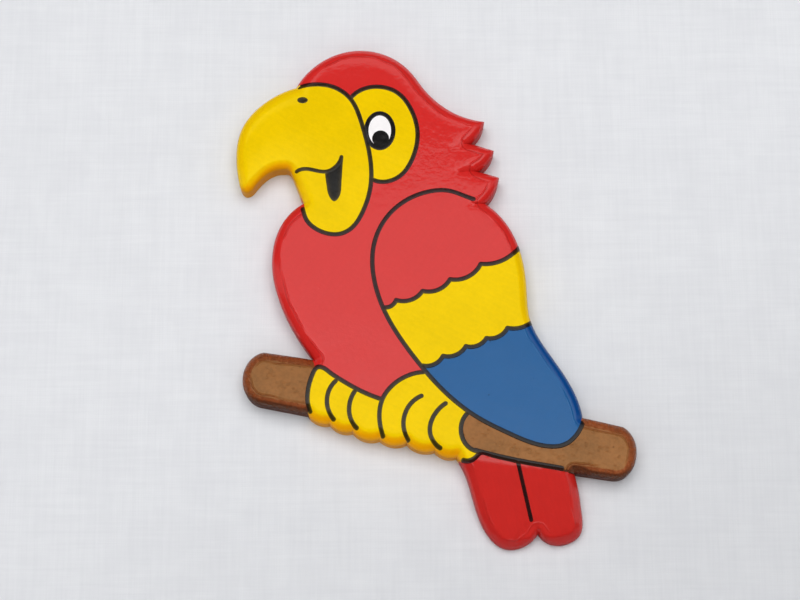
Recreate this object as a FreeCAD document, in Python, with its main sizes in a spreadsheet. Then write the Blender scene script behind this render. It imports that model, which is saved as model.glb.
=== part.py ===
"""Painted wooden parrot on a perch, a flat figure with two magnets let into its back.

The figure stands upright: +X runs to the right as it is looked at, +Z up towards the crown, and the
painted face looks along -Y. The back lies in the plane y = 0, and the origin is on it, at the middle of
the figure's width. Lengths are in millimetres.

The figure is drawn in the plane of the board, where a point is (x, z), at the size DRAWN_WIDTH by
DRAWN_HEIGHT, and board_width and board_height stretch the drawing. The enamel covers the face and runs
down the edge of the board. Black lines part it into coats: each coat is what the lines leave of the
face round one point inside it.
"""
import FreeCAD, Part

import os

import Sketcher
from FreeCAD import Placement, Rotation, Vector

# ------------------------------------------------------------------------------ driving dimensions
SIZES = {
    "board_width": 73.5,  # from the beak to the right end of the perch
    "board_height": 94.4,  # from the tip of the tail to the crown
    "board_thickness": 5.0,
    "tail_drop": 0.8,  # how far the face of the tail is cut back
    "paint_thickness": 0.12,  # a coat of coloured enamel
    "line_thickness": 0.18,  # a black line, a little proud of the coats
    "line_width": 0.85,
    "mouth_line_width": 0.75,
    "tail_line_width": 0.75,
    "eye_width": 5.95,  # over the black ring, stretched with the board as the drawing is
    "eye_height": 7.65,
    "eye_ring_width": 0.85,
    "pupil_diameter": 3.2,
    "nostril_width": 2.0,
    "nostril_height": 1.25,
    "magnet_diameter": 12.0,
    "magnet_thickness": 3.0,
    "glue_thickness": 0.3,  # under a magnet
    "glue_gap": 0.15,  # round a magnet
    "upper_magnet_x": -8.0,
    "upper_magnet_z": 27.0,
    "lower_magnet_x": -3.0,
    "lower_magnet_z": -9.0,
}

# ------------------------------------------------------------------------------ drawing
DRAWN_WIDTH = 73.5
DRAWN_HEIGHT = 94.4

BROW = (-26.2, 41.4)
CREST_TOP_TIP = (9.25, 34.6)
CREST_TOP_NOTCH = (6.6, 30.3)
CREST_MIDDLE_TIP = (11.0, 28.9)
CREST_LOWER_NOTCH = (7.9, 24.9)
CREST_LOWER_TIP = (11.9, 23.65)
NAPE = (9.2, 18.6)
WING_TIP = (26.6, -22.0)
PERCH_RIGHT_UPPER = (34.0, -23.7)
PERCH_RIGHT_LOWER = (32.1, -33.0)
TAIL_RIGHT = (24.9, -31.9)
TAIL_NOTCH = (18.3, -42.6)
TAIL_LEFT = (3.6, -28.9)
LAST_TOE_CORNER = (8.6, -28.6)
TOE_CUSPS = [(-0.4, -27.7), (-5.5, -26.3), (-10.5, -25.6), (-15.4, -24.2), (-19.6, -22.7)]
PERCH_LEFT_FOOT = (-23.7, -20.95)
PERCH_LEFT_LOWER = (-32.5, -19.2)
PERCH_LEFT_UPPER = (-31.8, -9.7)
BELLY_FOOT = (-22.4, -11.1)
THROAT = (-24.65, 18.75)
BEAK_TIP_INNER = (-34.6, 21.4)
BEAK_TIP_OUTER = (-36.5, 21.95)

TAIL_ROOT = [(5.8, -26.6), (24.4, -29.0)]  # the tail's part under the perch
TOE_SAG = 0.16  # bulge of a toe, as a share of its chord
SCALLOP_SAG = 0.17  # bulge of a feather's edge, as a share of its chord
STROKE_STOPS = 24  # points that carry each side of a brush stroke

EYE = (-10.4, 32.55)
PUPIL = (-10.25, 31.0)
NOSTRIL = (-25.0, 38.6)
MOUTH_CORNER = (-17.6, 27.45)
MOUTH_MIDDLE = (-20.7, 24.6)

# ------------------------------------------------------------------------------ curves
WIDTH_STRETCH = SIZES["board_width"] / DRAWN_WIDTH
HEIGHT_STRETCH = SIZES["board_height"] / DRAWN_HEIGHT
UPRIGHT = Rotation(Vector(1, 0, 0), 90)  # turns the drawing's plane up into XZ
FORWARD = Vector(0, -1, 0)


def at(point):
    """A point of the drawing, stretched to the board's size."""
    return Vector(point[0] * WIDTH_STRETCH, point[1] * HEIGHT_STRETCH, 0)


def curve(*points):
    """A smooth curve through points."""
    spline = Part.BSplineCurve()
    spline.interpolate([at(point) for point in points])
    return spline


def line(start, end):
    """A straight run."""
    return Part.LineSegment(at(start), at(end))


def bow(start, end, sag):
    """An arc that bulges to the left of the way from start to end, by sag times its chord."""
    along = at(end) - at(start)
    top = at(start) + along * 0.5 + Vector(-along.y, along.x, 0) * sag
    return Part.Arc(at(start), top, at(end))


def bows(points, sag):
    """One arc after another, from each point to the next."""
    return [bow(a, b, sag) for a, b in zip(points, points[1:])]


def area(curves):
    """The flat face inside a closed run of curves."""
    return Part.Face(Part.Wire([each.toShape() for each in curves]))


def stroke(path, width):
    """The flat face that a round brush of this width leaves along a curve."""
    edge = path.toShape()
    stops = edge.discretize(STROKE_STOPS)
    tangents = [edge.tangentAt(edge.Curve.parameter(stop)) * (width / 2) for stop in stops]
    left = [stop + Vector(-way.y, way.x, 0) for stop, way in zip(stops, tangents)]
    right = [stop - Vector(-way.y, way.x, 0) for stop, way in zip(stops, tangents)]
    sides = [Part.BSplineCurve(), Part.BSplineCurve()]
    sides[0].interpolate(left)
    sides[1].interpolate(right[::-1])
    end = Part.Arc(left[-1], stops[-1] + tangents[-1], right[-1])
    start = Part.Arc(right[0], stops[0] - tangents[0], left[0])
    return Part.Face(Part.Wire([each.toShape() for each in (sides[0], end, sides[1], start)]))


def strokes(curves, width):
    """Strokes along several curves, run together."""
    first, *rest = [stroke(each, width) for each in curves]
    return first.multiFuse(rest).removeSplitter() if rest else first


def painted(curves):
    """The flat face inside a closed run of curves, widened by the paint on its edge."""
    rims = [stroke(each, 2 * SIZES["paint_thickness"]) for each in curves]
    return area(curves).multiFuse(rims).removeSplitter()


def oval(centre, width, height, band=0.0):
    """An upright ellipse of the drawing, less a band of this width along its edge."""
    middle = at(centre)
    reach = at((width / 2, height / 2)) - Vector(band, band, 0)
    across = Vector(reach.x, 0, 0)
    up = Vector(0, reach.y, 0)
    major, minor = (across, up) if reach.x > reach.y else (up, across)
    return Part.Face(Part.Wire([Part.Ellipse(middle + major, middle + minor, middle).toShape()]))


# Clockwise from the brow, without the tail.
FIGURE_OUTLINE = [
    curve(
        BROW, (-22.2, 46.05), (-15.0, 48.8), (-7.5, 47.0), (-4.15, 44.0), (-2.35, 41.5), (3.1, 36.65),
        CREST_TOP_TIP,
    ),
    curve(CREST_TOP_TIP, (8.3, 32.2), CREST_TOP_NOTCH),
    line(CREST_TOP_NOTCH, CREST_MIDDLE_TIP),
    curve(CREST_MIDDLE_TIP, (10.0, 26.7), CREST_LOWER_NOTCH),
    line(CREST_LOWER_NOTCH, CREST_LOWER_TIP),
    curve(CREST_LOWER_TIP, (11.05, 21.0), NAPE),
    curve(NAPE, (12.2, 16.0), (15.2, 10.8), (16.7, 3.0), (17.3, -3.5), (21.4, -11.0), WING_TIP),
    line(WING_TIP, PERCH_RIGHT_UPPER),
    curve(PERCH_RIGHT_UPPER, (35.9, -26.0), (36.1, -29.6), (34.7, -32.2), PERCH_RIGHT_LOWER),
    line(PERCH_RIGHT_LOWER, TAIL_RIGHT),
    curve(TAIL_RIGHT, (19.5, -31.0), (14.6, -30.1), (11.0, -29.3), LAST_TOE_CORNER),
    curve(LAST_TOE_CORNER, (7.75, -28.75), (7.15, -29.35), (6.1, -29.98), (4.75, -29.85), TAIL_LEFT),
    *bows([TAIL_LEFT, *TOE_CUSPS, PERCH_LEFT_FOOT], TOE_SAG),
    line(PERCH_LEFT_FOOT, PERCH_LEFT_LOWER),
    curve(PERCH_LEFT_LOWER, (-34.9, -17.3), (-35.5, -14.0), (-34.4, -11.3), PERCH_LEFT_UPPER),
    line(PERCH_LEFT_UPPER, BELLY_FOOT),
    curve(BELLY_FOOT, (-26.1, -5.7), (-29.1, 0.6), (-30.4, 7.4), (-29.4, 13.2), THROAT),
    curve(THROAT, (-25.25, 20.3), (-26.1, 22.5), (-26.85, 24.4), (-27.4, 25.25), (-28.4, 25.5)),
    curve((-28.4, 25.5), (-30.2, 25.25), (-32.1, 24.15), (-33.7, 22.45), BEAK_TIP_INNER),
    curve(BEAK_TIP_INNER, (-35.6, 21.05), BEAK_TIP_OUTER),
    curve(BEAK_TIP_OUTER, (-37.35, 27.4), (-36.35, 33.45), (-32.2, 38.4), BROW),
]

TAIL_OUTLINE = [
    line(TAIL_ROOT[1], TAIL_RIGHT),
    curve(TAIL_RIGHT, (25.7, -35.1), (26.2, -38.8), (25.95, -42.9), (23.55, -44.55), TAIL_NOTCH),
    curve(
        TAIL_NOTCH, (15.7, -45.0), (12.2, -45.35), (9.4, -43.1), (6.9, -37.4), (5.1, -31.6), TAIL_LEFT,
    ),
    line(TAIL_LEFT, TAIL_ROOT[0]),
    line(*TAIL_ROOT),
]

# Lines that reach the outline run on past it, so that they part the coats there.
BEAK_CURVES = [
    curve(
        (-27.2, 40.8), (-22.7, 41.7), (-19.0, 41.1), (-16.0, 38.9), (-13.9, 34.3), (-12.4, 28.4),
        (-12.1, 22.0), (-13.6, 16.8), (-16.2, 13.3), (-19.2, 12.5), (-21.1, 13.0), (-22.5, 13.7),
        (-23.55, 14.6), (-24.3, 15.7), (-24.7, 16.9), (-24.85, 18.2), (-25.3, 19.6),
    ),
]
EYE_PATCH_CURVES = [
    curve(
        (-15.8, 39.1), (-13.4, 40.8), (-10.7, 41.2), (-7.2, 40.1), (-4.5, 36.7), (-3.3, 32.2),
        (-4.2, 27.3), (-6.8, 23.6), (-9.5, 22.6), (-11.9, 23.1),
    ),
]
WING_CURVES = [
    curve(
        (10.0, 18.8), (7.4, 19.0), (4.6, 20.3), (0.4, 20.9), (-5.0, 19.3), (-9.4, 15.4), (-11.6, 10.0),
        (-11.4, 3.6), (-9.2, -2.8), (-4.8, -9.8), (1.3, -17.0), (7.6, -22.0), (13.7, -25.1),
        (20.0, -27.2), (24.2, -26.4), (26.2, -23.8), (26.9, -20.4),
    ),
]
SHOULDER_CURVES = bows(
    [(16.4, 11.8), (8.3, 6.8), (2.6, 3.9), (-2.5, 1.7), (-7.4, 0.0), (-9.5, -1.4)], SCALLOP_SAG
)
WING_BAND_CURVES = bows(
    [(18.6, -2.8), (13.1, -5.3), (9.2, -7.2), (5.4, -8.7), (1.2, -10.5), (-2.6, -12.3)], SCALLOP_SAG
)
FEET_CURVES = [
    curve(
        (-22.8, -22.2), (-23.0, -20.9), (-23.5, -19.5), (-23.65, -17.9), (-23.4, -15.9), (-22.75, -13.85),
        (-22.1, -12.75), (-21.3, -12.45),
    ),
    curve((-21.5, -12.5), (-20.8, -12.65), (-19.6, -13.5), (-18.0, -14.6), (-14.0, -16.9), (-10.1, -18.5)),
    line((-21.85, -12.4), (-22.6, -10.6)),
    curve((-9.8, -25.2), (-10.5, -21.8), (-9.9, -18.4), (-7.2, -15.2), (-2.4, -13.5)),
]
TOE_CURVES = [
    curve((-18.5, -15.1), (-19.9, -17.4), (-20.0, -19.7), (-18.8, -22.1)),
    curve((-15.0, -17.0), (-15.9, -19.1), (-15.9, -21.5), (-14.6, -23.7)),
    curve((-2.8, -17.9), (-5.2, -19.9), (-6.1, -22.5), (-5.2, -25.9)),
    curve((1.6, -19.3), (-0.4, -21.3), (-1.3, -23.8), (0.6, -27.4)),
    curve((4.85, -29.6), (5.9, -29.75), (6.85, -29.3), (7.6, -28.5)),
]
PERCH_CURVES = [
    curve((5.6, -21.1), (4.4, -23.4), (4.5, -25.3), (5.8, -27.4), (7.4, -28.1)),
    curve((7.0, -27.9), (11.0, -28.95), (14.6, -29.75), (19.5, -30.65), (23.0, -31.25)),
]
TAIL_CURVES = [
    line((14.4, -28.9), (17.0, -40.4)),
]
MOUTH_CURVES = [
    curve((-25.95, 24.75), (-25.1, 25.1), (-24.0, 25.15), (-22.3, 24.8), MOUTH_MIDDLE),
    curve(MOUTH_MIDDLE, (-19.5, 24.95), (-18.5, 25.75), (-17.95, 26.5), MOUTH_CORNER),
]
TONGUE_SIDE = [(-20.6, 23.6), (-20.35, 21.8), (-19.85, 19.8), (-18.9, 18.85), (-17.95, 19.8), (-17.6, 21.8)]
TONGUE_OUTLINE = [
    curve(MOUTH_MIDDLE, *TONGUE_SIDE, (-17.45, 24.4), (-17.25, 27.1)),
    line((-17.25, 27.1), MOUTH_CORNER),
    curve(MOUTH_CORNER, (-17.95, 26.5), (-18.5, 25.75), (-19.5, 24.95), MOUTH_MIDDLE),
]

# Each coat and a point inside it.
COATS = {
    "red_plumage_paint": (-20.0, 0.0),
    "red_shoulder_paint": (2.0, 12.0),
    "yellow_wing_band_paint": (4.0, -3.0),
    "blue_wing_tip_paint": (14.0, -15.0),
    "yellow_beak_paint": (-25.0, 33.0),
    "yellow_eye_patch_paint": (-6.0, 29.0),
    "yellow_feet_paint": (-13.0, -21.0),
    "brown_perch_left_paint": (-29.0, -15.0),
    "brown_perch_right_paint": (31.0, -28.0),
    "white_eye_paint": (-10.5, 34.5),
}

# ------------------------------------------------------------------------------ document
doc = FreeCAD.newDocument("Parrot")
pieces = []


def make_sheet():
    """Puts the driving dimensions into a spreadsheet, one aliased cell each."""
    sheet = doc.addObject("Spreadsheet::Sheet", "Sizes")
    for row, (name, value) in enumerate(SIZES.items(), 1):
        sheet.set(f"A{row}", name)
        sheet.set(f"B{row}", str(value))
        sheet.setAlias(f"B{row}", name)
    doc.recompute()


def piece(feature, name):
    """Names a finished sub-part."""
    feature.Label = name
    pieces.append(feature)
    return feature


def back_sketch(body, name):
    """A sketch on the body's own XZ plane, which is the back of the board."""
    sketch = body.newObject("Sketcher::SketchObject", name)
    back = [each for each in body.Origin.OriginFeatures if each.Role == "XZ_Plane"]
    sketch.AttachmentSupport = [(back[0], "")]
    sketch.MapMode = "FlatFace"
    return sketch


def outline_sketch(body, name, curves):
    """A sketch of a drawn outline, whose curves are blocked where they lie."""
    sketch = back_sketch(body, name)
    for index, each in enumerate(curves):
        sketch.addGeometry(each, False)
        sketch.addConstraint(Sketcher.Constraint("Block", index))
    return sketch


def pad(body, sketch, name, length):
    """Pads a sketch towards the face."""
    feature = body.newObject("PartDesign::Pad", name)
    feature.Profile = sketch
    feature.setExpression("Length", length)
    return feature


def magnet_circle(sketch, end):
    """A circle round one magnet, with its glue."""
    across, up = SIZES[f"{end}_magnet_x"], SIZES[f"{end}_magnet_z"]
    radius = SIZES["magnet_diameter"] / 2 + SIZES["glue_gap"]
    index = sketch.addGeometry(Part.Circle(Vector(across, up, 0), Vector(0, 0, 1), radius))
    radius_rule = "Sizes.magnet_diameter / 2 + Sizes.glue_gap"
    bound = {
        "radius": (Sketcher.Constraint("Radius", index, radius), radius_rule),
        "across": (Sketcher.Constraint("DistanceX", -1, 1, index, 3, across), f"Sizes.{end}_magnet_x"),
        "up": (Sketcher.Constraint("DistanceY", -1, 1, index, 3, up), f"Sizes.{end}_magnet_z"),
    }
    for word, (constraint, expression) in bound.items():
        constraint.Name = f"{end}_{word}"
        sketch.addConstraint(constraint)
        sketch.setExpression(f"Constraints.{end}_{word}", expression)


def make_board():
    """The board, sawn to the outline, cut back at the tail and bored for the magnets."""
    body = piece(doc.addObject("PartDesign::Body", "Board"), "carved_board")
    figure = outline_sketch(body, "FigureSketch", FIGURE_OUTLINE)
    pad(body, figure, "FigurePad", "Sizes.board_thickness")
    tail = outline_sketch(body, "TailSketch", TAIL_OUTLINE)
    blank = pad(body, tail, "TailPad", "Sizes.board_thickness - Sizes.tail_drop")
    bores = back_sketch(body, "MagnetSketch")
    for end in ("upper", "lower"):
        magnet_circle(bores, end)
    pocket = body.newObject("PartDesign::Pocket", "MagnetPockets")
    pocket.Profile = bores
    pocket.Reversed = True
    pocket.setExpression("Length", "Sizes.magnet_thickness + Sizes.glue_thickness")
    body.Tip = pocket
    doc.recompute()
    if pocket.Shape.Volume >= blank.Shape.Volume:
        raise RuntimeError("the magnet pockets cut nothing")
    binder = doc.addObject("PartDesign::SubShapeBinder", "BoardBlank")
    binder.Support = blank
    doc.recompute()
    return binder


def disc(name, end, radius, height):
    """A round disc that lies in the board with one face in the plane of the back."""
    feature = doc.addObject("Part::Cylinder", name)
    feature.Placement = Placement(Vector(), UPRIGHT)
    feature.setExpression("Radius", radius)
    feature.setExpression("Height", height)
    feature.setExpression("Placement.Base.x", f"Sizes.{end}_magnet_x")
    feature.setExpression("Placement.Base.z", f"Sizes.{end}_magnet_z")
    return feature


def make_magnet(end):
    """A magnet flush with the back, and the cup of glue that holds it in its pocket."""
    magnet = (end, "Sizes.magnet_diameter / 2", "Sizes.magnet_thickness")
    piece(disc(f"{end}Magnet", *magnet), f"{end}_magnet")
    cup = doc.addObject("Part::Cut", f"{end}Glue")
    cup.Base = disc(
        f"{end}GlueOuter",
        end,
        "Sizes.magnet_diameter / 2 + Sizes.glue_gap",
        "Sizes.magnet_thickness + Sizes.glue_thickness",
    )
    cup.Tool = disc(f"{end}GlueInner", *magnet)
    piece(cup, f"{end}_magnet_glue")


def make_coat(name, face, height, blank):
    """A coat of paint: the part's face, as high as height says, less the board inside it."""
    flat = doc.addObject("Part::Feature", f"{name}_area")
    flat.Shape = face
    flat.Placement = Placement(Vector(), UPRIGHT)
    prism = doc.addObject("Part::Extrusion", f"{name}_prism")
    prism.Base = flat
    prism.DirMode = "Custom"
    prism.Dir = FORWARD
    prism.Solid = True
    prism.setExpression("LengthFwd", height)
    coat = doc.addObject("Part::Cut", f"{name}_coat")
    coat.Base = prism
    coat.Tool = blank
    piece(coat, name)


def island(faces, point):
    """The face that holds a point of the drawing."""
    for face in faces:
        if face.isInside(at(point), 1e-4, True):
            return face
    raise RuntimeError(f"no face round {point}")


def black_lines():
    """The face of every black line by name, each less the lines before it."""
    width = SIZES["line_width"]
    eyeball = (EYE, SIZES["eye_width"], SIZES["eye_height"])
    pupil = oval(PUPIL, SIZES["pupil_diameter"], SIZES["pupil_diameter"])
    eye = oval(*eyeball).cut(oval(*eyeball, band=SIZES["eye_ring_width"])).fuse(pupil)
    tongue = area(TONGUE_OUTLINE)
    drawn = {
        "beak_line": strokes(BEAK_CURVES, width),
        "eye_patch_line": strokes(EYE_PATCH_CURVES, width),
        "eye_ring_and_pupil": eye.removeSplitter(),
        "wing_line": strokes(WING_CURVES, width),
        "shoulder_feather_line": strokes(SHOULDER_CURVES, width),
        "wing_band_feather_line": strokes(WING_BAND_CURVES, width),
        "perch_line": strokes(PERCH_CURVES, width),
        "feet_line": strokes(FEET_CURVES, width),
        "toe_lines": strokes(TOE_CURVES, width),
        "mouth_line": strokes(MOUTH_CURVES, SIZES["mouth_line_width"]).fuse(tongue).removeSplitter(),
        "nostril": oval(NOSTRIL, SIZES["nostril_width"], SIZES["nostril_height"]),
    }
    done = []
    for name, face in drawn.items():
        drawn[name] = face.cut(done) if done else face
        done.append(face)
    return drawn


def make_paint(blank):
    """The coats and black lines of the face, then those of the lower face of the tail."""
    figure = painted(FIGURE_OUTLINE)
    tail = painted(TAIL_OUTLINE).cut(figure)
    lines = black_lines()
    coats = figure.cut(list(lines.values())).Faces
    coat_height = "Sizes.board_thickness + Sizes.paint_thickness"
    for name, point in COATS.items():
        make_coat(name, island(coats, point), coat_height, blank)
    for name, face in lines.items():
        make_coat(name, face.common(figure), "Sizes.board_thickness + Sizes.line_thickness", blank)
    tail_line = strokes(TAIL_CURVES, SIZES["tail_line_width"]).common(tail)
    tail_height = "Sizes.board_thickness - Sizes.tail_drop"
    make_coat("red_tail_paint", tail.cut(tail_line), f"{tail_height} + Sizes.paint_thickness", blank)
    make_coat("tail_line", tail_line, f"{tail_height} + Sizes.line_thickness", blank)


def write_pieces():
    """Checks every object of the document, then writes each sub-part."""
    doc.recompute()
    for feature in doc.Objects:
        if {"Invalid", "Error"} & set(feature.State):
            raise RuntimeError(f"{feature.Label}: {feature.State}")
    for feature in pieces:
        if feature.Shape.isNull() or not feature.Shape.isValid() or not feature.Shape.Solids:
            raise RuntimeError(f"{feature.Label}: no valid solid")
    os.makedirs("parts", exist_ok=True)
    for feature in pieces:
        feature.Shape.exportStep(f"parts/{feature.Label}.step")
        print(f"{feature.Label:28} {len(feature.Shape.Solids)} solid(s) {feature.Shape.Volume:10.2f} mm3")


make_sheet()
board_blank = make_board()
for magnet_end in ("upper", "lower"):
    make_magnet(magnet_end)
make_paint(board_blank)
write_pieces()
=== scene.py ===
"""Looks of a painted wooden parrot on a perch, a flat figure with two magnets let into its back.

The figure stands upright: +X runs to the right as it is looked at, +Z up towards the crown, and the
painted face looks along -Y. The drawing of the face, which is the outline of the board and the edges of
the black lines, is read from the CAD nodes in model.glb. From it the carved face is made as one fine
surface with rounded edges, a sloping tail and cut crest feathers, and then shared out among the coats of
enamel.

Plans are arrays of points (x, z) in millimetres, and every mesh is in metres.
"""
import logging
import math
from dataclasses import dataclass, field
from enum import Enum

import bmesh
import bpy
import numpy as np
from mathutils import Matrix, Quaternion, Vector, noise
from mathutils.geometry import delaunay_2d_cdt
from mathutils.kdtree import KDTree


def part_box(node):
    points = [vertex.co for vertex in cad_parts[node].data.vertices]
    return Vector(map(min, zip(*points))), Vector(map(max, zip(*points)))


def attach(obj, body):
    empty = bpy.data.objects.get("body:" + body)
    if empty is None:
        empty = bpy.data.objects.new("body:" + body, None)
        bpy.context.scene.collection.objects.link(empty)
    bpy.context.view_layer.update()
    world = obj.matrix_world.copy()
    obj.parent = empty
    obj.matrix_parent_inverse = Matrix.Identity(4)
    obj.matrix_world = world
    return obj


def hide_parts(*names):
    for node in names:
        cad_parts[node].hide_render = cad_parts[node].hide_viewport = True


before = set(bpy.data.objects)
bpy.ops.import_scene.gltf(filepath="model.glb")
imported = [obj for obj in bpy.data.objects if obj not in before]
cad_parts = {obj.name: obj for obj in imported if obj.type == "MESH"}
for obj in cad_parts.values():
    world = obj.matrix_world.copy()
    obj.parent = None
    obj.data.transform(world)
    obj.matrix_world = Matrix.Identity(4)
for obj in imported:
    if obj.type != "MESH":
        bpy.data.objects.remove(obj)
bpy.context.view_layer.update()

MM = 0.001
BODY = "root"
TINY = 1e-12
LEVEL_PLAY = 1e-6
KEYS_PER_METRE = 1e7
KEY_STEP = 1e-4
log = logging.getLogger("parrot")


class MagnetEnd(Enum):
    """Which of the two magnets."""

    UPPER = "upper"
    LOWER = "lower"


COATS = (
    "red_plumage_paint", "red_shoulder_paint", "yellow_wing_band_paint", "blue_wing_tip_paint",
    "yellow_beak_paint", "yellow_eye_patch_paint", "yellow_feet_paint", "brown_perch_left_paint",
    "brown_perch_right_paint", "white_eye_paint", "red_tail_paint",
)
LINES = (
    "beak_line", "eye_patch_line", "eye_ring_and_pupil", "wing_line", "shoulder_feather_line",
    "wing_band_feather_line", "perch_line", "feet_line", "toe_lines", "mouth_line", "nostril",
    "tail_line",
)
PAINTED = (*LINES, *COATS)


# ------------------------------------------------------------------------------ plans
def ways_of(face: list) -> list[tuple]:
    """The ways from each corner of a face to the next."""
    return list(zip(face, face[1:] + face[:1]))


def plan_loops(node: str, back: bool = False) -> list[np.ndarray]:
    """Reads the outlines of a CAD node's flat front face, or of its back face.

    Args:
        node: The CAD node's name.
        back: Whether the face farthest along +Y is read, and not the nearest.

    Returns:
        Closed outlines in millimetres, each with the face on the left of its way.
    """
    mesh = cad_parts[node].data
    depths = [vertex.co.y for vertex in mesh.vertices]
    level = max(depths) if back else min(depths)
    ways = set()
    for face in mesh.polygons:
        corners = [mesh.vertices[index].co for index in face.vertices]
        if all(abs(corner.y - level) < LEVEL_PLAY for corner in corners):
            keys = [tuple(round(part * KEYS_PER_METRE) for part in (at.x, at.z)) for at in corners]
            ways.update(ways_of(keys[::-1] if back else keys))
    onward = {start: end for start, end in ways if (end, start) not in ways}
    loops = []
    while onward:
        start, here = onward.popitem()
        loop = [start]
        while here in onward:
            loop.append(here)
            here = onward.pop(here)
        loops.append(np.array(loop, float) * KEY_STEP)
    return [loop for loop in loops if len(loop) > 2]


def sides(loops: list[np.ndarray]) -> np.ndarray:
    """All the straight sides of closed outlines, as an array of (start, end) points."""
    return np.concatenate([np.stack([loop, np.roll(loop, -1, 0)], 1) for loop in loops])


class Ruler:
    """Measures how far points lie from closed outlines."""

    STEP = 0.2

    def __init__(self, loops: list[np.ndarray]) -> None:
        """Divides the outlines finely and sorts their points for a quick search.

        Args:
            loops: The closed outlines.
        """
        fine = [divided(loop, self.STEP) for loop in loops]
        self.here = np.vstack(fine)
        self.after = np.vstack([np.roll(loop, -1, 0) for loop in fine])
        self.before = np.vstack([np.roll(loop, 1, 0) for loop in fine])
        self.tree = KDTree(len(self.here))
        for index, point in enumerate(self.here):
            self.tree.insert((*point, 0.0), index)
        self.tree.balance()

    def reach(self, points: np.ndarray) -> np.ndarray:
        """Measures each point's distance from the nearest outline.

        Args:
            points: The points.

        Returns:
            One distance for each point.
        """
        nearest = [self.tree.find((x, z, 0.0))[1] for x, z in points]
        start = self.here[nearest]
        found = np.full(len(points), np.inf)
        for end in (self.after[nearest], self.before[nearest]):
            along = end - start
            share = ((points - start) * along).sum(1) / np.maximum((along**2).sum(1), TINY)
            foot = start + np.clip(share, 0, 1)[:, None] * along
            found = np.minimum(found, np.linalg.norm(points - foot, axis=1))
        return found


def within(points: np.ndarray, loops: list[np.ndarray], batch: int = 2000) -> np.ndarray:
    """Tells which points lie inside closed outlines, holes left out.

    Args:
        points: The points to test.
        loops: The closed outlines.
        batch: How many points are tested at a time.

    Returns:
        One truth value for each point.
    """
    segments = sides(loops)
    inside = np.zeros(len(points), bool)
    low, high = segments.min((0, 1)), segments.max((0, 1))
    near = np.flatnonzero(((points >= low) & (points <= high)).all(1))
    (x0, z0), (x1, z1) = segments[:, 0].T, segments[:, 1].T
    for first in range(0, len(near), batch):
        some = near[first : first + batch]
        x, z = points[some, 0, None], points[some, 1, None]
        crossed = (z0 > z) != (z1 > z)
        with np.errstate(divide="ignore", invalid="ignore"):
            crossed &= x < x0 + (z - z0) * (x1 - x0) / (z1 - z0)
        inside[some] = crossed.sum(1) % 2 == 1
    return inside


def left_of(ways: np.ndarray) -> np.ndarray:
    """Unit vectors that point to the left of ways in the plan."""
    left = np.stack([-ways[:, 1], ways[:, 0]], 1)
    return left / np.maximum(np.linalg.norm(left, axis=1, keepdims=True), TINY)


def corners_of(loop: np.ndarray, sharpest: float, longest: float) -> np.ndarray:
    """Finds the points of an outline where no smooth curve runs through.

    Args:
        loop: The closed outline.
        sharpest: The largest turn of a smooth curve, in degrees.
        longest: The longest side that belongs to a curve.

    Returns:
        The indices of the corners.
    """
    ahead = np.roll(loop, -1, 0) - loop
    behind = loop - np.roll(loop, 1, 0)
    turn = np.degrees(np.arccos(np.clip((left_of(ahead) * left_of(behind)).sum(1), -1, 1)))
    side = np.maximum(np.linalg.norm(ahead, axis=1), np.linalg.norm(behind, axis=1))
    return np.flatnonzero((turn > sharpest) | (side > longest))


def tangents_of(ways: np.ndarray, chords: np.ndarray) -> np.ndarray:
    """Finds which way a smooth curve runs at each point of a run.

    Args:
        ways: The unit way of each chord.
        chords: The length of each chord, in one column.

    Returns:
        One way for each point.
    """
    tangents = np.vstack([ways[:1], ways])
    if len(ways) > 1:
        inner = ways[:-1] * chords[1:] + ways[1:] * chords[:-1]
        tangents[1:-1] = inner / (chords[1:] + chords[:-1])
        tangents[0] = 2 * ways[0] - tangents[1]
        tangents[-1] = 2 * ways[-1] - tangents[-2]
    return tangents


def cubic(ends: np.ndarray, speeds: np.ndarray, steps: int) -> np.ndarray:
    """Lays points along a cubic curve between two points.

    Args:
        ends: The two points.
        speeds: How the curve leaves the first and reaches the second.
        steps: How many points are laid. The second end isn't one of them.

    Returns:
        The points.
    """
    t = np.linspace(0, 1, steps + 1)[:-1, None]
    return (
        ends[0] * (2 * t**3 - 3 * t**2 + 1)
        + ends[1] * (3 * t**2 - 2 * t**3)
        + speeds[0] * (t**3 - 2 * t**2 + t)
        + speeds[1] * (t**3 - t**2)
    )


def smoothed(loop: np.ndarray, spacing: float) -> np.ndarray:
    """Lays evenly spaced points along a smooth curve through an outline, sharp at its corners.

    Args:
        loop: The closed outline.
        spacing: The distance between points.

    Returns:
        The new closed outline.
    """
    corners = corners_of(loop, sharpest=28.0, longest=2.6)
    loop = np.roll(loop, -corners[0], 0)
    corners = np.append(corners - corners[0], len(loop))
    loop = np.vstack([loop, loop[:1]])
    laid = []
    for first, last in zip(corners, corners[1:]):
        run = loop[first : last + 1]
        chords = np.linalg.norm(np.diff(run, axis=0), axis=1)[:, None]
        tangents = tangents_of(np.diff(run, axis=0) / chords, chords)
        for index, chord in enumerate(chords[:, 0]):
            steps = max(int(round(chord / spacing)), 1)
            pair = slice(index, index + 2)
            laid.append(cubic(run[pair], tangents[pair] * chord, steps))
    return np.vstack(laid)


def divided(loop: np.ndarray, spacing: float) -> np.ndarray:
    """Lays points along the straight sides of an outline.

    Args:
        loop: The closed outline.
        spacing: How far apart the points are at most.

    Returns:
        The new closed outline.
    """
    laid = []
    for start, end in sides([loop]):
        steps = max(math.ceil(math.dist(start, end) / spacing), 1)
        laid.append(start + (end - start) * np.arange(steps)[:, None] / steps)
    return np.vstack(laid)


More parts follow.
